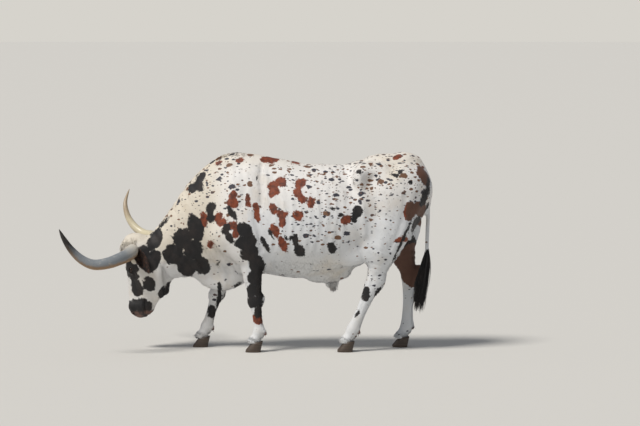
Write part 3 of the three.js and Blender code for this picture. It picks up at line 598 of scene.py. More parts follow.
def markings(p):
    """The coat's attributes at points: distances to black and rust patches in metres, and shares up to 1, one
    of them painted shade.
    """
    x, y, z = p.T
    # The far side wears the same kind of patches, moved along and up; the legs keep their own.
    far = ramp(y, 10, 220) * ramp(z, 660, 840)
    px, pz = photo_plane(p)
    x2, z2 = px - 170 * far, pz + 90 * far
    h = to_head(p)
    a, side, b = h.T
    outside = field(trunk + neck, p) - field([head], p)
    in_head = (outside > 6) & (a > 10)
    # Both sides of the face are marked alike, the far one a little higher.
    hx, hz = photo_plane(from_head(np.stack([a + 14 * (side < 0), np.abs(side), b], 1)))
    x2, z2 = np.where(in_head, hx, x2), np.where(in_head, hz, z2)
    black, rust = patches(x2, z2, BLACK, 9), patches(x2, z2, RUST, 9)
    black = np.maximum(black, -patches(hx, hz, FACE_WHITE, 6))
    rust = np.where(in_head, 300, rust)
    # The near hind leg stays white in front of the far one's brown.
    rust = np.where((y < 40) & (z < 800) & (x > 250), 300, rust)
    far_leg_in_painted_shade = (y > 40) & (z < 900) & (x > 450)
    cream = ramp(-x, 600, 860) * ramp(z, 520, 800) * 0.85 + 0.45 * ramp(z, 1300, 1400)
    # Cream spots; the two on the belly are painted shade, the rest the coat's own cream.
    cream = cream + round_spots(px, pz, CREAM_AND_BELLY_SHADE_SPOTS)
    face_cream = 0.3 + 0.7 * np.exp(-(((hx + 1364) ** 2 + (hz - 650) ** 2) / 34**2))
    cream = np.clip(cream, 0, 1)
    cream = cream + (face_cream - cream) * ramp(outside, -40, 60) * ramp(a, -20, 60)
    back = ramp(pz + 0.1 * px, 1120, 1330)
    flecks = back * ramp(x, -420, -180) + 0.65 * ramp(z, 900, 1180) * ramp(-x, 440, 620)
    flecks = flecks + round_spots(x2, z2, FLECK_SPOTS)
    flecks = np.clip(flecks + 0.08, 0, 1) * np.where(in_head, 0.25, 1.0)
    bare = ramp(a, 520, 545) * in_head + 0.3 * np.exp(-(((x - 88) ** 2 + (z - 490) ** 2) / 34**2)) * (z < 560)
    for joints in LEGS.values():
        dewclaw = [np.linalg.norm(p - (joints[3] + np.array((58, 21 * s, -20))), axis=1) for s in (-1, 1)]
        bare = bare + ramp(-np.minimum(*dewclaw), -24, -18)
    # Painted shade: the white turns bluish lower on the body, growing from z 1180 to full at z 860, and more
    # under z 640. On the far hind leg and in the rump's rear rust patches the share is full, which also paints
    # their rust a duller brown as shade.
    painted_shade_and_ear_brown = np.clip(ramp(-z, -1180, -860) * (1 - cream) * (x > -520) + 0.4 * (z < 640), 0, 0.8)
    painted_shade_and_ear_brown = np.where(far_leg_in_painted_shade | ((x > 620) & (z > 880) & (rust < 5)), 1.0, painted_shade_and_ear_brown)
    tail_end = ramp(-z, -740, -660) * (x > 715) * (np.abs(y) < 60)
    black = np.where(x > 700, np.minimum(black, 300 - 330 * tail_end), black)
    # The dock is white below the brown of the tail's root.
    dock = (x > 745) & (z < 1180) & (np.abs(y) < 26)
    black, rust = np.where(dock & (z > 700), 300, black), np.where(dock, 300, rust)
    return {"black": black / 1000, "rust": rust / 1000, "cream": cream, "flecks": flecks,
            "bare": np.clip(bare, 0, 1), "painted_shade_and_ear_brown": painted_shade_and_ear_brown}


# The skin's material. Its colours are a group, because the tufts of hair share them.
class Nodes:
    """Short names for making shader nodes in one tree."""

    def __init__(self, tree):
        self.tree = tree

    def add(self, kind, **values):
        node = self.tree.nodes.new("ShaderNode" + kind)
        for key, value in values.items():
            setattr(node, key, value)
        return node

    def put(self, socket, value):
        if isinstance(value, bpy.types.NodeSocket):
            self.tree.links.new(value, socket)
        else:
            socket.default_value = value

    def math(self, operation, a, b=0.0):
        node = self.add("Math", operation=operation)
        self.put(node.inputs[0], a)
        self.put(node.inputs[1], b)
        return node.outputs[0]

    def times(self, a, b):
        return self.math("MULTIPLY", a, b)

    def wobble(self, noise, size):
        """A noise about zero: size (noise - 1/2)."""
        return self.times(self.math("SUBTRACT", noise, 0.5), size)

    def step(self, value, low, high):
        """0 below low, 1 above high, smooth between."""
        node = self.add("MapRange", interpolation_type="SMOOTHSTEP")
        self.put(node.inputs["Value"], value)
        node.inputs["From Min"].default_value = low
        node.inputs["From Max"].default_value = high
        return node.outputs["Result"]

    def mix(self, share, a, b):
        node = self.add("Mix", data_type="RGBA")
        self.put(node.inputs["Factor"], share)
        self.put(node.inputs["A"], a)
        self.put(node.inputs["B"], b)
        return node.outputs["Result"]

    def noise(self, where, scale, detail=3.0, rough=0.55):
        node = self.add("TexNoise")
        self.put(node.inputs["Vector"], where)
        node.inputs["Scale"].default_value = scale
        node.inputs["Detail"].default_value = detail
        node.inputs["Roughness"].default_value = rough
        return node.outputs["Fac"]

    def attribute(self, name):
        return self.add("Attribute", attribute_name=name).outputs["Fac"]

    def place(self, stretch=(1, 1, 1)):
        """The point in the object's frame, stretched."""
        where = self.add("TexCoord").outputs["Object"]
        node = self.add("VectorMath", operation="MULTIPLY")
        self.put(node.inputs[0], where)
        node.inputs[1].default_value = stretch
        return node.outputs[0]


def colour(r, g, b):
    """A screen colour of 0 to 255 as linear light."""
    return (*[(c / 255) ** 2.2 for c in (r, g, b)], 1.0)


def coat_group():
    """The coat's colour, shared by skin and tufts: ground with painted bluish shade, flecks, rust and black
    patches, rust's painted shade, bare skin.
    """
    tree = bpy.data.node_groups.new("Coat colour", "ShaderNodeTree")
    tree.interface.new_socket("Colour", in_out="OUTPUT", socket_type="NodeSocketColor")
    n = Nodes(tree)
    where = n.place()
    warp = n.wobble(n.noise(where, 20, 4, 0.65), 0.05)
    fine = n.wobble(n.noise(n.place((90, 90, 60)), 1, 3, 0.6), 0.022)
    edge = n.math("ADD", warp, fine)
    black = n.step(n.math("ADD", n.attribute("black"), edge), 0.004, -0.004)
    rust = n.step(n.math("ADD", n.attribute("rust"), edge), 0.004, -0.004)
    ground = n.mix(n.attribute("cream"), colour(228, 226, 224), colour(216, 206, 188))
    # Painted shade: the white takes a bluish tint as the shade share rises.
    ground = n.mix(n.times(n.attribute("painted_shade_and_ear_brown"), 0.6), ground, colour(204, 211, 219))
    ground = n.mix(n.times(n.step(n.noise(where, 6, 3), 0.5, 0.8), 0.28), ground, colour(206, 184, 150))
    # Flecks of three sizes: cells whose chance of a spot follows the attribute.
    sizes = ((16, (0.8, 1, 1.1), 0.6), (30, (0.75, 1, 1.25), 0.85), (64, (0.6, 1, 1.4), 0.45))
    for scale, stretch, share in sizes:
        place = n.place(tuple(scale * v for v in stretch))
        cell = n.add("TexVoronoi")
        n.put(cell.inputs["Vector"], place)
        cell.inputs["Scale"].default_value = 1.0
        parts = n.add("SeparateColor")
        n.put(parts.inputs["Color"], cell.outputs["Color"])
        chance = n.times(n.attribute("flecks"), share)
        there = n.math("LESS_THAN", parts.outputs["Red"], chance)
        reach = n.times(n.math("ADD", n.times(parts.outputs["Green"], 0.24), 0.17), there)
        far = n.math("ADD", cell.outputs["Distance"], n.wobble(n.noise(place, 2.2, 3), 0.62))
        tint = n.mix(n.step(parts.outputs["Blue"], 0.5, 0.6), colour(56, 56, 66), colour(112, 80, 60))
        ground = n.mix(n.step(n.math("SUBTRACT", far, reach), 0.03, -0.05), ground, tint)
    rusty = n.mix(n.step(n.noise(where, 30, 3), 0.35, 0.7), colour(132, 63, 35), colour(84, 43, 29))
    dark = n.mix(n.step(n.noise(where, 12, 3), 0.4, 0.75), colour(19, 17, 20), colour(40, 33, 31))
    # Where the shade share is full, rust is painted a duller brown as shade on the far hind leg and the rump's
    # rear. The ears' brown hair takes the same brown as its own colour.
    rusty = n.mix(n.step(n.attribute("painted_shade_and_ear_brown"), 0.85, 0.99), rusty, colour(92, 62, 48))
    skin = n.mix(rust, ground, rusty)
    skin = n.mix(black, skin, dark)
    bare = n.mix(n.step(n.noise(where, 26, 2), 0.4, 0.65), colour(58, 46, 44), colour(112, 82, 72))
    skin = n.mix(n.attribute("bare"), skin, bare)
    end = tree.nodes.new("NodeGroupOutput")
    tree.links.new(skin, end.inputs["Colour"])
    return tree


def material(name, roughness, sheen=0.0):
    """A principled material; returns it, its nodes and its shader."""
    made = bpy.data.materials.new(name)
    made.use_nodes = True
    n = Nodes(made.node_tree)
    shader = made.node_tree.nodes["Principled BSDF"]
    shader.inputs["Roughness"].default_value = roughness
    shader.inputs["Sheen Weight"].default_value = sheen
    shader.inputs["Sheen Roughness"].default_value = 0.5
    return made, n, shader


def bump(n, shader, height, strength, distance):
    """Bump from a height whose full range is `distance` metres, into the shader's normal."""
    node = n.add("Bump")
    node.inputs["Strength"].default_value = strength
    node.inputs["Distance"].default_value = distance
    n.put(node.inputs["Height"], height)
    n.put(shader.inputs["Normal"], node.outputs["Normal"])


def coat_material(group, name, with_bump):
    """The coat's colours, on the hide with bump for its short fur, or on tufts without."""
    made, n, shader = material(name, 0.62, 0.04)
    use = n.add("Group")
    use.node_tree = group
    n.put(shader.inputs["Base Color"], use.outputs["Colour"])
    if with_bump:
        lie = n.math("ADD", n.noise(n.place((60, 260, 420)), 1, 3), n.times(n.noise(n.place(), 34, 3), 0.9))
        bump(n, shader, lie, 0.55, 0.004)
    return made


# The model's frame: the solid eye's middle is where the animal's left eye is.
eye_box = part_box("eye_left")
SHIFT = (np.array(eye_box[0]) + np.array(eye_box[1])) / 2 - from_head(EYE) / 1000
SHIFT[2] = 0.0


def place(points):
    """Millimetres in the animal's frame to metres in the model's."""
    return np.asarray(points) / 1000 + SHIFT


def piece(name, points, faces, made, attributes=None, uv=None):
    """A mesh object, still in the rest pose, riding on the root."""
    mesh = bpy.data.meshes.new(name)
    faces = np.asarray(faces)
    sides = faces.shape[1]
    mesh.vertices.add(len(points))
    mesh.vertices.foreach_set("co", place(points).astype(np.float32).ravel())
    mesh.loops.add(faces.size)
    mesh.loops.foreach_set("vertex_index", faces.astype(np.int32).ravel())
    mesh.polygons.add(len(faces))
    mesh.polygons.foreach_set("loop_start", np.arange(0, faces.size, sides, dtype=np.int32))
    mesh.update(calc_edges=True)
    mesh.validate()
    mesh.polygons.foreach_set("use_smooth", np.full(len(mesh.polygons), True))
    for key, values in (attributes or {}).items():
        mesh.attributes.new(key, "FLOAT", "POINT").data.foreach_set("value", values.astype(np.float32))
    if uv is not None:
        layer = mesh.uv_layers.new(name="OFBake")
        layer.data.foreach_set("uv", uv[faces.ravel()].astype(np.float32).ravel())
    mesh.materials.append(made)
    o = bpy.data.objects.new(name, mesh)
    bpy.context.scene.collection.objects.link(o)
    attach(o, "root")
    return o


skin_points, skin_faces = make_skin()
_, skin_normals = slope(skin_points)
skin_normals = unit(skin_normals)
coat_colours = coat_group()
skin_material = coat_material(coat_colours, "Skin and short fur", True)


# Ears. A leaf of gristle rolled into a cup, with thin skin on both sides, rooted 16 mm inside the head. They
# belong to the hide, so they join the skin's mesh.
EAR_LENGTH = 180
EAR_COAT = {"black": -0.05, "rust": 0.3, "flecks": 0.0, "cream": 0.3, "bare": 0.0, "painted_shade_and_ear_brown": 0.0}


def ring_walls(rows, around):
    """Triangles between rings of points: (a, b, b') and (a, b', a'), b beside a, and a' and b' a ring on."""
    a = np.arange((rows - 1) * around)
    b = a - a % around + (a + 1) % around
    return np.vstack([np.stack([a, b, b + around], 1), np.stack([a, b + around, a + around], 1)])


def ear(s, arc=15, stations=26):
    """A leaf rolled into a cup: at each station an outer arc and an inner one, closed at the rims."""
    root = np.array((80, s * 112, -140.0))
    way = unit((0.7, s * 0.38, -0.56))
    opening = unit((-0.2, s * 0.95, 0.25))
    across = unit(np.cross(way, opening))
    opening = unit(np.cross(across, way))
    rings = []
    for t in np.linspace(0, 1, stations):
        width = 50 * math.sin(math.pi * min(0.2 + 0.8 * t, 0.965)) ** 0.75 * (1 - 0.25 * t)
        curl = 2.5 - 1.1 * t
        thick = 9 - 5 * t
        for inner in (0, 1):
            share = np.linspace(0, 1, arc)[:: -1 if inner else 1]
            angle = (share - 0.5) * curl
            r = width / math.sin(min(curl / 2, math.pi / 2))
            deep = inner * thick * (0.35 + 0.65 * np.sin(np.pi * np.clip(share, 0.08, 0.92)))
            high = r * (math.cos(curl / 2) * 0.5 + 0.25) - (r - deep) * np.cos(angle)
            wide = (r - deep) * np.sin(angle)
            along = t * EAR_LENGTH - 16 * (1 - t)
            rings.append(root + way * along + across * wide[:, None] + opening * high[:, None])
    n = 2 * arc
    k = np.arange(arc - 1)
    end = np.vstack([np.stack([k, k + 1, n - 2 - k], 1), np.stack([k, n - 2 - k, n - 1 - k], 1)])
    faces = np.vstack([ring_walls(stations, n), end + (stations - 1) * n, end[:, ::-1]])
    return from_head(np.concatenate(rings)), faces[:, ::-1]


ear_parts = [ear(s) for s in (1, -1)]
whole = np.vstack([skin_points] + [points for points, _ in ear_parts])
ear_count = len(whole) - len(skin_points)
starts = (len(skin_points), len(skin_points) + ear_count // 2)
whole_faces = np.vstack([skin_faces] + [faces + start for (_, faces), start in zip(ear_parts, starts)])
values = markings(whole)
for key, value in EAR_COAT.items():
    values[key][-ear_count:] = value
skin = piece("skin", whole, whole_faces, skin_material, attributes=values)
flesh_nodes = [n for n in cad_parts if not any(part in n for part in ("claw", "horn", "eye", "switch"))]
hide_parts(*flesh_nodes)


# Horns. Sheaths of horn over cores of bone, ringed at the root and smooth towards the tip, growing from the
# skull's corners. The near one is grey with a tan underside, the far one ivory.
HORN_RADIUS = 46


def closed_walls(rows, around):
    """The triangles of ring_walls, and those of fans to the first and last point, which follow the rings."""
    a = np.arange(around)
    b = (a + 1) % around
    top = (rows - 1) * around
    first, last = np.full((2, around), [[rows * around], [rows * around + 1]])
    fans = np.stack([b, a, first], 1), np.stack([top + a, top + b, last], 1)
    return np.vstack([ring_walls(rows, around), *fans])


def horn(s):
    """The horn's path in the head's frame, and its radius, falling as (1 - t^2.2)^0.8 from root to tip."""
    path = [(64, 62, -89), (66, 223, -122), (69, 356, -100), (78, 454, -39), (74, 506, 46),
            (26, 533, 125), (-53, 561, 183), (-144, 609, 210), (-230, 693, 201)]
    fine = smooth_rows([(x, s * y, z) for x, y, z in path], 24)
    length = np.r_[0, np.cumsum(np.linalg.norm(np.diff(fine, axis=0), axis=1))]
    t = np.linspace(0, 1, 150)
    middle = np.stack([np.interp(t * length[-1], length, fine[:, k]) for k in range(3)], 1)
    way = unit(np.gradient(middle, axis=0))
    side = unit(np.cross(way, (0, 0, 1.0)))
    up = np.cross(side, way)
    ripple = 1.8 * np.sin(t * 2 * np.pi / 0.022) * ramp(-t, -0.30, -0.05)
    radius = HORN_RADIUS * (1 if s > 0 else 0.86) * (1 - t**2.2) ** 0.8 + 1 + ripple
    angles = np.linspace(0, 2 * np.pi, 32, endpoint=False)
    ring = side[:, None] * np.cos(angles)[None, :, None] + up[:, None] * np.sin(angles)[None, :, None]
    points = (middle[:, None] + ring * radius[:, None, None]).reshape(-1, 3)
    points = np.vstack([points, middle[0], middle[-1] + 2 * way[-1]])
    faces = closed_walls(len(t), len(angles))[:, ::-1]
    return from_head(points), faces, np.r_[np.repeat(t, len(angles)), 0, 1], np.r_[ring[..., 0].ravel(), 0, 0]


def horn_material(name, pale, mid, under, tip):
    """Horn that is pale at its root, with rings, streaks, a darker underside and its own tip."""
    made, n, shader = material(name, 0.34)
    along = n.attribute("along")
    streak = n.noise(n.place((14, 14, 14)), 2, 4, 0.6)
    body = n.mix(n.step(along, 0.06, 0.32), pale, mid)
    low = n.math("ADD", n.attribute("under"), n.math("SUBTRACT", streak, 0.5))
    body = n.mix(n.times(n.step(low, -0.1, 0.55), 0.9), body, under)
    body = n.mix(n.times(n.step(streak, 0.5, 0.75), 0.35), body, pale)
    ringed = n.step(n.math("SINE", n.times(along, 290.0)), 0.2, 0.9)
    body = n.mix(n.times(ringed, n.step(along, 0.30, 0.08)), body, n.mix(0.5, pale, under))
    where = n.math("ADD", along, n.wobble(streak, 0.16))
    body = n.mix(n.step(where, 0.66, 0.84), body, tip)
    n.put(shader.inputs["Base Color"], body)
    bump(n, shader, n.noise(n.place((40, 40, 40)), 2, 3), 0.3, 0.002)
    return made


# Shades at the root, along the middle, on the underside and at the tip.
GREY_HORN = (206, 202, 192), (128, 133, 138), (140, 106, 68), (34, 28, 26)
IVORY_HORN = (224, 216, 198), (208, 198, 170), (180, 160, 134), (168, 150, 126)
for s, which, look, shades in ((1, "left", "grey", GREY_HORN), (-1, "right", "ivory", IVORY_HORN)):
    made = horn_material("Horn, " + look, *[colour(*shade) for shade in shades])
    points, faces, along, below = horn(s)
    o = piece("horn_" + which + "_visual", points, faces, made,
              attributes={"along": along, "under": below})
    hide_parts("horn_" + which)


# Eyes. Wet balls in the sockets, dark brown with a wide pupil, of which the part between the lids shows.
# Each is a sphere and takes the place of its node.
def ball(centre, radius, wide=48, high=40):
    """A sphere of rings about the head's sideways axis, closed by a point at each pole."""
    v, u = np.meshgrid(np.arange(1, high) * np.pi / high, np.arange(wide) * 2 * np.pi / wide, indexing="ij")
    points = np.stack([np.sin(v) * np.cos(u), np.cos(v), np.sin(v) * np.sin(u)], -1).reshape(-1, 3)
    points = np.vstack([points, (0, 1, 0), (0, -1, 0)]) * radius
    return from_head(np.array(centre) + points), closed_walls(high - 1, wide)


eye_made, n, shader = material("Eye", 0.06)
shader.inputs["Coat Weight"].default_value = 0.2
shader.inputs["Specular IOR Level"].default_value = 0.3
shader.inputs["Coat Roughness"].default_value = 0.05
look = n.attribute("look")
iris = n.mix(n.step(look, 0.60, 0.66), colour(66, 52, 45), colour(40, 24, 15))
n.put(shader.inputs["Base Color"], n.mix(n.step(look, 0.91, 0.93), iris, colour(6, 5, 6)))
for s, which in ((1, "left"), (-1, "right")):
    points, faces = ball((EYE[0], s * EYE[1], EYE[2]), EYE_RADIUS)
    facing = unit(points - from_head((EYE[0], s * EYE[1], EYE[2]))) @ (HEAD_TURN @ unit((0, s, 0.28)))
    o = piece("eye_" + which + "_visual", points, faces, eye_made,
              attributes={"look": facing})
    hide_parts("eye_" + which)


# Claws. Two shoes of dark horn to a foot, ringed by growth and fixed round the last bones of the toes. Each
# takes the place of its node.
def claw(foot, side, sides=28):
    """A claw: a D in plan, flat below and leaning back as it rises."""
    ahead, behind, half, apart = 66, 46, 29, 4
    levels = [(0, 0, 0.97), (0.03, -2, 1.0), (0.16, -2, 1.02), (0.35, 1, 0.98), (0.55, 4, 0.94),
              (0.8, 9, 0.87), (1, 13, 0.82)]
    rings = []
    for rise, back, scale in levels:
        angle = np.arange(sides) * 2 * np.pi / sides
        fore = np.cos(angle)
        x = foot[0] + back * 1.6 - fore * scale * np.where(fore > 0, ahead * (1 - 0.4 * rise), behind) + 4
        width = half * scale * np.where(np.sin(angle) * side < 0, 0.98, 1.04)
        y = foot[1] + side * (apart + half) + np.sin(angle) * width
        rings.append(np.stack([x, y, np.full(sides, rise * CLAW_HEIGHT)], 1))
    points = np.concatenate(rings + [rings[0].mean(0)[None], rings[-1].mean(0)[None]])
    return points, closed_walls(len(levels), sides)[:, ::-1]


claw_made, n, shader = material("Claw", 0.5)
rings = n.noise(n.place((6, 6, 160)), 1, 2)
n.put(shader.inputs["Base Color"], n.mix(rings, colour(44, 38, 36), colour(96, 82, 70)))
bump(n, shader, rings, 0.4, 0.002)
for name, joints in LEGS.items():
    for side, letter in ((-1, "a"), (1, "b")):
        node = name + "_claw_" + letter
        points, faces = claw(joints[4], side)
        o = piece(node + "_visual", points, faces, claw_made)
        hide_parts(node)


# The coat. Short hair all over, longer on the poll, underline, sheath and backs of the legs. In life it grows
# from the hide; here it is thin tapering tufts, rooted 1.5 mm under the skin and wearing the skin's colours.
hair_material = coat_material(coat_colours, "Coat tufts", False)


def unwrap(p):
    """The skin laid out flat: each part unrolled about its own axis into its own part of the square, with one
    of u and v the share of the way along it and the other the share of the way round."""
    x, y, z = p.T

    def share(value, low, high):
        return np.clip((value - low) / (high - low), 0, 1)

    def round_share(a, b):
        return np.arctan2(a, b) / (2 * np.pi) + 0.5

    middle = np.interp(x, (-1300, -900, -600, 800), (650, 850, 950, 1050))
    parts = [(trunk + neck, (0.01, 0.34), (0.98, 0.65), share(x, -1300, 830), round_share(y, z - middle))]
    limbs = [(legs[name], LEGS[name], 0.01 + 0.2 * i, 0.18, 60, 1150) for i, name in enumerate(LEGS)]
    for shapes, rows, left, wide, low, high in limbs + [([tail], TAIL, 0.81, 0.06, 680, 1420)]:
        # A limb turns about its own middle at each height.
        spine = np.array(sorted(rows, key=lambda row: row[2]))
        cx, cy = (np.interp(z, spine[:, 2], spine[:, k]) for k in (0, 1))
        parts.append((shapes, (left, 0.01), (wide, 0.3), round_share(y - cy, x - cx), share(z, low, high)))
    uv = np.zeros((len(p), 2))
    best = np.full(len(p), 1e9)
    for shapes, corner, size, u, v in parts:
        d = field(shapes, p)
        own = d < best
        best[own] = d[own]
        uv[own] = (corner + np.stack([u, v], 1) * size)[own]
    h = to_head(p)
    own = (field([head], p) < best) & (h[:, 0] > -80)
    round_head = round_share(h[:, 1], h[:, 2] + 110)
    uv[own] = np.stack([0.88 + 0.11 * round_head, 0.01 + 0.3 * share(h[:, 0], -80, 600)], 1)[own]
    return uv


def locks(roots, ways, bends, lengths, widths, uv, steps=3, sides=3, wave=0.0):
    """Tapering, bending locks: p(t) = root + L (t way + t^2 bend / 2), with `sides` corners at each of
    `steps` rows, flattened to 0.55 of their width, and a point at the tip."""
    n = len(roots)
    t = np.arange(steps) / steps
    ways = unit(ways)
    across = unit(np.cross(ways, bends + 1e-4))
    out = np.cross(ways, across)
    phase = random.uniform(0, 2 * np.pi, n)
    rows = []
    for k in t:
        middle = roots + lengths[:, None] * (k * ways + 0.5 * k * k * bends)
        if wave:
            swing = wave * lengths * np.sin(phase + 7 * k) * k
            middle = middle + across * swing[:, None]
        r = widths * (1 - 0.75 * k) * (0.8 + 0.5 * math.sin(math.pi * min(k + 0.15, 1)))
        for s in range(sides):
            angle = 2 * np.pi * s / sides
            high, wide = 0.55 * r * math.sin(angle), r * math.cos(angle)
            rows.append(middle + across * wide[:, None] + out * high[:, None])
    tip = roots + lengths[:, None] * (ways + 0.5 * bends)
    points = np.concatenate([np.stack(rows, 1), tip[:, None]], 1)
    per = steps * sides + 1
    one = []
    for r in range(steps - 1):
        for s in range(sides):
            a, b = r * sides + s, r * sides + (s + 1) % sides
            one += [(a, b, b + sides), (a, b + sides, a + sides)]
    last = (steps - 1) * sides
    one += [(last + s, last + (s + 1) % sides, per - 1) for s in range(sides)]
    one += [(0, s + 1, s) for s in range(1, sides - 1)]
    faces = (np.array(one)[None] + per * np.arange(n)[:, None, None]).reshape(-1, 3)
    local = [(s / sides - 0.5, k - 0.5) for k in t for s in range(sides)] + [(0, 0.5)]
    patch = (uv[:, None] + 0.003 * np.array(local)[None]).reshape(-1, 2)
    return points.reshape(-1, 3), faces, patch, per


def scatter(points, faces, weights, count):
    """Random places on faces, picked by area times weight: a + u (b - a) + v (c - a)."""
    a, b, c = (points[faces[:, i]] for i in range(3))
    area = np.linalg.norm(np.cross(b - a, c - a), axis=1) * weights[faces].mean(1)
    pick = random.choice(len(faces), count, p=area / area.sum())
    u, v = random.random((2, count))
    over = u + v > 1
    u[over], v[over] = 1 - u[over], 1 - v[over]
    return a[pick] + u[:, None] * (b - a)[pick] + v[:, None] * (c - a)[pick]


def lie_of_coat(p, normal):
    """The way the hair lies: back and down the body, down the legs and along the nose."""
    x, y, z = p.T
    way = np.stack([np.ones_like(x), np.zeros_like(x), np.full_like(x, -0.55)], 1)
    leg = ramp(-z, -760, -560)[:, None] * (x > -1000)[:, None]
    way = way * (1 - leg) + leg * np.array((0.1, 0, -1))
    h = to_head(p)
    nose = HEAD_TURN @ np.array((1, 0, -0.1))
    inside = (ramp(-x, 1180, 1300) * (h[:, 0] > -40))[:, None]
    way = way * (1 - inside) + inside * nose
    way = np.where((x > 735)[:, None] & (z < 1300)[:, None], np.array((0.05, 0, -1)), way)
    way = way + random.normal(0, 0.16, way.shape)
    way = way - (way * normal).sum(1, keepdims=True) * normal
    return unit(way)


def tuft_piece(name, slot, attributes, *numbers, **keys):
    """A piece made of locks, each wearing its root's attributes."""
    points, faces, uv, per = locks(*numbers, **keys)
    return piece(name, points, faces, hair_material,
                 attributes={k: np.repeat(v, per) for k, v in attributes.items()}, uv=uv)


def coat_piece(name, roots, normal, way, lengths, widths, lift, **keys):
    """A piece of the coat: locks rooted in the skin, with the skin's colours at their roots."""
    attributes = markings(roots)
    direction = unit(way + normal * np.asarray(lift)[:, None])
    bend = -normal * (np.asarray(lift) * 0.9)[:, None] + (0, 0, -0.05)
    return tuft_piece(name, "torso", attributes, roots - normal * 1.5, direction, bend, lengths, widths,
                      uv=unwrap(roots), **keys)


def normals_at(p):
    """The field's slope at points, made one long."""
    return unit(slope(p)[1])


def cover(name, weight, count, length, width, lift, **keys):
    """Tufts over the skin where weight says, each `length` by `width` with a spread of a third."""
    roots = scatter(skin_points, skin_faces, weight, count)
    normal = normals_at(roots)
    size = random.uniform(0.7, 1.3, len(roots))
    way = lie_of_coat(roots, normal)
    coat_piece(name, roots, normal, way, length * size, width * size, np.full(len(roots), lift), **keys)


x, y, z = skin_points.T
up = skin_normals[:, 2]
head_part = to_head(skin_points)
in_head = (x < -1180) & (head_part[:, 0] > -50)
face_bare = np.clip(1 - ramp(head_part[:, 0], 500, 530), 0, 1)
eye_clear = ramp(eye_distance(head_part), 26, 44)
body = np.where(in_head, 0.0, 1.0) * (z > 90) * (1 - values["bare"][: len(skin_points)])
cover("coat_body", body * (z > 500), 19500, 17, 1.75, 0.16, steps=2)
cover("coat_legs", body * (z < 560) * (x < 735), 14000, 12, 1.35, 0.14, steps=2)
cover("coat_face", in_head * face_bare * eye_clear, 17000, 8.5, 1.0, 0.14, steps=2)
edge = body * ((up < -0.55) & (z > 420)) * (x < 640)
cover("coat_underline", edge, 8000, 20, 1.7, 0.26, steps=3)
top_line = body * (up > 0.8) * (z > 900)
cover("coat_crest", top_line * (x < -560), 5000, 20, 1.7, 0.2, steps=3)
back_of_leg = body * (skin_normals[:, 0] > 0.55) * (z < 720) * (z > 110) * (x < 735)
cover("coat_leg_backs", back_of_leg, 5000, 22, 1.6, 0.35, steps=3)
cover("coat_coronets", body * (z < 118) * (z > 72), 4000, 22, 1.5, 0.2, steps=2)
sheath = np.exp(-(((x - 88) ** 2 + (z - 486) ** 2) / 24**2)) * (np.abs(y) < 40)
cover("coat_sheath", sheath, 260, 62, 2.6, 0.9, steps=4)

# The poll's tuft. Longer, slightly wavy hair between the horns, which grows from the top of the head and falls
# forward over the forehead and to both sides.
poll = in_head * (head_part[:, 0] < 62) * (head_part[:, 2] > -120) * (np.abs(head_part[:, 1]) < 112)
roots = scatter(skin_points, skin_faces, poll.astype(float), 2600)
normal = normals_at(roots)
h = to_head(roots)
way = (HEAD_TURN @ np.stack([np.full(len(h), 0.9), h[:, 1] / 80, np.full(len(h), 0.12)])).T
way = way + random.normal(0, 0.2, way.shape)
count = len(roots)
coat_piece("coat_poll", roots, normal, unit(way), random.uniform(22, 48, count),
           random.uniform(1.0, 1.9, count), random.uniform(0.08, 0.3, count), steps=5, wave=0.05)

# The ears' hair. It grows from both sides of the leaf and points on towards the tip, black with brown in it.
for (points, faces), which in zip(ear_parts, ("left", "right")):
    n_ear = 2600
    roots = scatter(points, faces, np.ones(len(points)), n_ear)
    a, b, c = (points[faces[:, i]] for i in range(3))
    middle = (a + b + c) / 3
    flat_normal = unit(np.cross(b - a, c - a))
    nearest = np.array([np.argmin(((middle - r) ** 2).sum(1)) for r in roots])
    normal = flat_normal[nearest]
    out_way = unit(points[-1] - points[0])
    way = unit(out_way + random.normal(0, 0.25, roots.shape))
    length = random.uniform(10, 24, n_ear)
    spots = {k: np.full(n_ear, v) for k, v in EAR_COAT.items()}
    brown = random.random(n_ear) < 0.45
    # The brown hairs take the shade attribute's full share only to get its duller brown, here the ear's own
    # colour.
    spots["black"][brown], spots["rust"][brown], spots["painted_shade_and_ear_brown"][brown] = 0.3, -0.05, 1.0
    direction = unit(way + normal * 0.25)
    base = np.array((0.885, 0.32)) + 0.0 * roots[:, :2]
    base[:, 0] += 0.1 * ((roots[:, 2] - roots[:, 2].min()) / 200)
    tuft_piece("coat_ear_" + which, "torso", spots, roots, direction, -normal * 0.2, length,
               np.full(n_ear, 1.3), uv=base)

# The tail's switch. Long dark wavy hair that grows round the lower dock and hangs nearly to the fetlocks; it
# takes the place of its node.
n_switch = 1100
drop = random.random(n_switch) ** 0.8
angle = random.uniform(0, 2 * np.pi, n_switch)
ray = np.stack([np.cos(angle), np.sin(angle), np.zeros(n_switch)], 1)
roots = np.stack([785 - 8 * drop, -3 + 0 * drop, 740 - 280 * drop], 1) + ray * (12 - 6 * drop)[:, None]
roots[:, 0] -= np.clip(690 - roots[:, 2], 0, 300) * 0.12
ends = np.array((716, -4, 250.0)) + ray * random.uniform(4, 46, n_switch)[:, None]
ends[:, 2] += random.uniform(0, 190, n_switch) + 60 * (1 - drop)
way = ends - roots
length = np.linalg.norm(way, axis=1)
bulge = ray * random.uniform(0.1, 0.5, n_switch)[:, None] + (0.15, 0, 0)
direction = unit(unit(way) + bulge * 0.5)
spots = markings(roots + (0, 0, -60))
spots["black"][random.random(n_switch) < 0.93] = -0.05
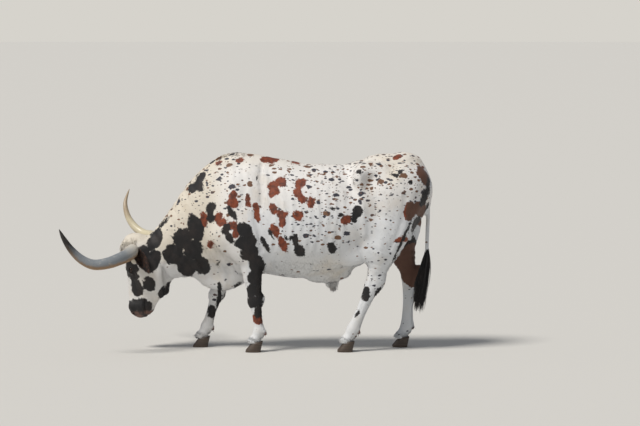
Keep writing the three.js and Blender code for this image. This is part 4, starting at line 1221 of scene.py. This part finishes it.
switch = tuft_piece("tail_switch_hair", "tail_switch", spots, roots, direction, -bulge, length,
                    random.uniform(2.2, 4.2, n_switch), uv=unwrap(roots), steps=9, sides=4, wave=0.02)
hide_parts("tail_switch")

# Stage, light and camera. A plain pale floor, a soft light from above, ahead of the animal on the camera's
# side, and pale air all round. The camera stands where the photograph's did and sees it at the same angle.
mesh = bpy.data.meshes.new("floor")
far = 900.0
mesh.from_pydata([(-far, -far, 0), (far, -far, 0), (far, far, 0), (-far, far, 0)], [], [(0, 1, 2, 3)])
floor = bpy.data.objects.new("floor", mesh)
floor_made, n, shader = material("Floor", 0.9)
shader.inputs["Base Color"].default_value = colour(212, 210, 205)
mesh.materials.append(floor_made)
bpy.context.scene.collection.objects.link(floor)

# The sky lights softly from all round; seen directly it has the floor's own shade.
world = bpy.data.worlds.new("Studio")
bpy.context.scene.world = world
world.use_nodes = True
n = Nodes(world.node_tree)
sky = world.node_tree.nodes["Background"]
seen = n.add("LightPath").outputs["Is Camera Ray"]
n.put(sky.inputs["Color"], n.mix(seen, (0.25, 0.262, 0.285, 1), (0.672, 0.651, 0.604, 1)))

sun = bpy.data.lights.new("sun", "SUN")
sun.energy, sun.angle, sun.color = 2.9, math.radians(18), (1.0, 0.965, 0.91)
o = bpy.data.objects.new("sun", sun)
o.rotation_euler = Vector((0.5, 0.42, -0.92)).to_track_quat("-Z", "Y").to_euler()
bpy.context.scene.collection.objects.link(o)

camera = bpy.data.objects.new("camera", bpy.data.cameras.new("camera"))
camera.data.sensor_width = 36.0
focal, picture_width, middle_row, horizon_row = 2740, 640, 213, 35
camera.data.lens = focal / picture_width * camera.data.sensor_width
camera.data.clip_end = 2 * far + 200
camera.location = (SHIFT[0], SHIFT[1] - CAMERA_AWAY / 1000, CAMERA_HIGH / 1000)
camera.rotation_euler = (math.radians(90) - math.atan((middle_row - horizon_row) / focal), 0, 0)
bpy.context.scene.collection.objects.link(camera)
bpy.context.scene.camera = camera
bpy.context.scene.view_settings.view_transform = "Standard"
